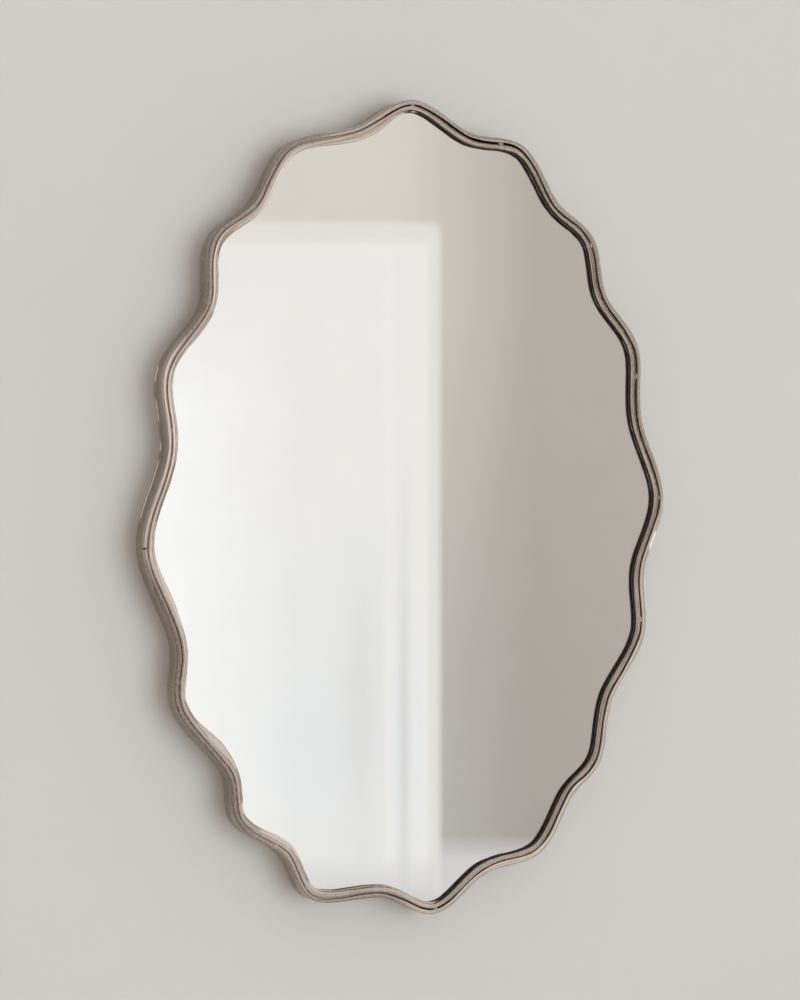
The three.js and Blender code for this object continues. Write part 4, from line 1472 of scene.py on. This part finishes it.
def screen_finish(name):
    """A soft screen of light: a pale greige field with panels that fade out at their edges."""
    finish = Finish(name)
    across, up, _ = finish.apart(finish.place())
    tone = finish.mix(finish.range(up, -1.1, 0.6, 0, 1), LOW_FIELD, HIGH_FIELD)
    pale = finish.mix(finish.range(up, -0.5, 0.6, 0, 1), LOW_PALE_FIELD, PALE_FIELD)
    tone = finish.mix(finish.range(across, -0.02, 0.45, 0, 1), pale, tone)
    for (x, y), (half_x, half_y), (soft_x, soft_y), colour in SCREEN_PANELS:
        inside_x = finish.inside(across, x, half_x, soft_x)
        inside_y = finish.inside(up, y, half_y, soft_y)
        tone = finish.mix(finish.math("MULTIPLY", inside_x, inside_y), tone, colour)
    glow = finish.node("ShaderNodeEmission", {"Color": tone, "Strength": 1.0}).outputs[0]
    edges = [finish.range(finish.math("ABSOLUTE", way, 0), fade_from, half, 1, 0)
             for way, fade_from, half in zip((across, up), SCREEN_FADES_FROM, SCREEN_HALF_SIZE)]
    return finish.surface(finish.blend(finish.math("MULTIPLY", *edges), finish.clear(), glow))


def add_screen(looks, target):
    """The screen of soft light that the glass reflects. Only reflections see it."""
    screen = stage_piece("soft_screen", *rectangle(*SCREEN_HALF_SIZE, 0), screen_finish("soft_screen"))
    turn = looks.camera_turn
    across = Vector((math.cos(turn), math.sin(turn), 0))
    up = Vector((0, 0, 1))
    facing = across.cross(up)
    columns = (across, up, facing, target + facing * SCREEN_DISTANCE)
    screen.matrix_world = Matrix([*zip(*columns), (0, 0, 0, 1)])
    screen.visible_camera = False
    screen.visible_diffuse = False
    screen.visible_shadow = False


# The surround: how much stronger its light is from the right than from the middle, its strength
# along the wall and from the front, its colours, and how bright reflections see it from left to right.
SKY_LEAN = 0.6
ALONG_THE_WALL, FROM_THE_FRONT = 2.2, 0.4
SKY_COLOUR = (1.0, 0.883, 0.78)
SEEN_COLOUR = (0.80, 0.785, 0.76)
MIRRORED_STRENGTH = 1.25
MIRRORED_ENDS = ((0.36, 0.345, 0.33, 1), (0.72, 0.70, 0.68, 1))
MIRRORED_LEVELS = (
    (0.22, 0.21), (0.36, 0.15), (0.48, 0.20), (0.60, 0.29), (0.69, 0.39), (0.80, 0.66), (0.90, 0.95),
)


def set_world(looks):
    """Soft light all round, stronger from the right. Reflections see it darker on the left."""
    world = bpy.data.worlds.new("soft_surround")
    bpy.context.scene.world = world
    world.use_nodes = True
    tree = NodeTree(world.node_tree)
    direction = tree.node("ShaderNodeTexCoord").outputs["Generated"]

    def share_of(way):
        """How far a ray goes a way, from -1 to 1."""
        made = tree.node("ShaderNodeVectorMath", {0: direction, 1: way}, operation="DOT_PRODUCT")
        return made.outputs["Value"]

    low, high = (1 - SKY_LEAN) * looks.sky_level, (1 + SKY_LEAN) * looks.sky_level
    sideways = tree.range(share_of((1.0, 0.0, 0.0)), -1.0, 1.0, low, high)
    front_or_back = tree.math("ABSOLUTE", share_of((0.0, 1.0, 0.0)), 0.0)
    outwards = tree.range(front_or_back, 0.0, 1.0, ALONG_THE_WALL, FROM_THE_FRONT)
    strength = tree.math("MULTIPLY", sideways, outwards)
    background = tree.nodes["Background"]
    tree.feed(background.inputs["Color"], SKY_COLOUR)
    tree.feed(background.inputs["Strength"], strength)
    rightwards = tree.range(share_of((0.95, 0.0, 0.30)), -1.0, 1.0, 0.0, 1.0)
    ramp = tree.node("ShaderNodeValToRGB", {"Fac": rightwards})
    steps = ramp.color_ramp.elements
    for step, place, colour in zip(steps, (0.0, 1.0), MIRRORED_ENDS):
        step.position = place
        step.color = colour
    for place, level in MIRRORED_LEVELS:
        steps.new(place).color = (level, 0.965 * level, 0.935 * level, 1)
    shades = {"Color": ramp.outputs["Color"], "Strength": MIRRORED_STRENGTH}
    mirrored = tree.node("ShaderNodeBackground", shades).outputs[0]
    seen = tree.node("ShaderNodeBackground", {"Color": SEEN_COLOUR}).outputs[0]
    ray = tree.node("ShaderNodeLightPath").outputs
    by_glass = tree.math("MAXIMUM", ray["Is Glossy Ray"], ray["Is Transmission Ray"])
    light = tree.blend(by_glass, background.outputs[0], mirrored)
    light = tree.blend(ray["Is Camera Ray"], light, seen)
    tree.feed(tree.nodes["World Output"].inputs["Surface"], light)


def look_at(thing, target):
    """Turns an object so that its -Z looks at a point."""
    thing.rotation_mode = "QUATERNION"
    thing.rotation_quaternion = (target - thing.location).to_track_quat("-Z", "Y")


# The key light's place, angle and colour, and where the camera looks, across and up.
KEY_PLACE = (2.9, -4.2, -0.5)
KEY_DEGREES = 48
KEY_COLOUR = (0.82, 0.93, 1.0)
CAMERA_AIM = (-0.01595, 0.0084)


def add_key_light(looks):
    """A broad soft key light from the right of the camera, so that the shadow falls to the left."""
    lamp = bpy.data.lights.new("key_light", "SUN")
    lamp.energy = looks.sun_strength
    lamp.angle = math.radians(KEY_DEGREES)
    lamp.color = KEY_COLOUR
    key = link("key_light", lamp)
    key.location = Vector(KEY_PLACE)
    look_at(key, Vector((0, 0, 0)))
    key.visible_glossy = False


def add_camera(looks):
    """The camera at the photograph's angle. Returns the point that it looks at."""
    target = Vector((CAMERA_AIM[0], FRONT, CAMERA_AIM[1]))
    turn = looks.camera_turn
    camera = link("camera", bpy.data.cameras.new("camera"))
    camera.location = target + Vector((-math.sin(turn), -math.cos(turn), 0)) * looks.camera_distance
    look_at(camera, target)
    camera.data.sensor_width = 36
    camera.data.lens = looks.focal_length
    camera.data.dof.use_dof = False
    camera.data.clip_end = 100
    bpy.context.scene.camera = camera
    return target


class MIRROR_OT_stage(Operator):
    """Set up the wall, floor, lights and camera"""

    bl_idname = "wavy_mirror.stage"
    bl_label = "Stage"

    def execute(self, context):
        looks = context.scene.mirror_stage_looks
        shape = open_wall(STAGE_HALF_WIDTH, WALL_TOP, FLOOR_LEVEL)
        stage_piece("wall", *shape, wall_paint("painted_wall", looks.wall))
        shape = rectangle(STAGE_HALF_WIDTH, STAGE_HALF_LENGTH, FLOOR_LEVEL)
        ground = stage_piece("floor", *shape, floor_paint("pale_floor", looks.floor))
        ground.visible_shadow = False
        target = add_camera(looks)
        add_screen(looks, target)
        set_world(looks)
        add_key_light(looks)
        context.scene.view_settings.view_transform = "Standard"
        return {"FINISHED"}


class MIRROR_PT_tools(Panel):
    """Lists the settings and the steps"""

    bl_idname = "MIRROR_PT_tools"
    bl_label = "Wavy Mirror"
    bl_space_type = "VIEW_3D"
    bl_region_type = "UI"
    bl_category = "Mirror"

    def draw(self, context):
        layout = self.layout
        for group in SETTINGS:
            looks = getattr(context.scene, group)
            box = layout.box()
            for name in looks.__annotations__:
                box.prop(looks, name)
        for operator in STEPS:
            layout.operator(operator.bl_idname)


SETTINGS = {
    "mirror_frame_looks": FrameLooks,
    "mirror_glass_looks": GlassLooks,
    "mirror_back_looks": BackLooks,
    "mirror_stage_looks": StageLooks,
}
STEPS = (
    MIRROR_OT_stage,
    MIRROR_OT_outer_bars,
    MIRROR_OT_inner_bars,
    MIRROR_OT_lips,
    MIRROR_OT_welds,
    MIRROR_OT_solder,
    MIRROR_OT_glass,
    MIRROR_OT_foam,
    MIRROR_OT_board,
    MIRROR_OT_tabs,
    MIRROR_OT_screws,
    MIRROR_OT_hangers,
    MIRROR_OT_feet,
)


def register():
    """Registers the settings, the steps and the panel."""
    for name, group in SETTINGS.items():
        bpy.utils.register_class(group)
        setattr(bpy.types.Scene, name, PointerProperty(type=group))
    for step in STEPS:
        bpy.utils.register_class(step)
    bpy.utils.register_class(MIRROR_PT_tools)


def unregister():
    """Takes everything out again."""
    bpy.utils.unregister_class(MIRROR_PT_tools)
    for step in reversed(STEPS):
        bpy.utils.unregister_class(step)
    for name, group in SETTINGS.items():
        delattr(bpy.types.Scene, name)
        bpy.utils.unregister_class(group)


def main():
    """Builds the mirror and its stage."""
    register()
    for step in STEPS:
        group, name = step.bl_idname.split(".")
        getattr(getattr(bpy.ops, group), name)()


if __name__ == "__main__":
    main()
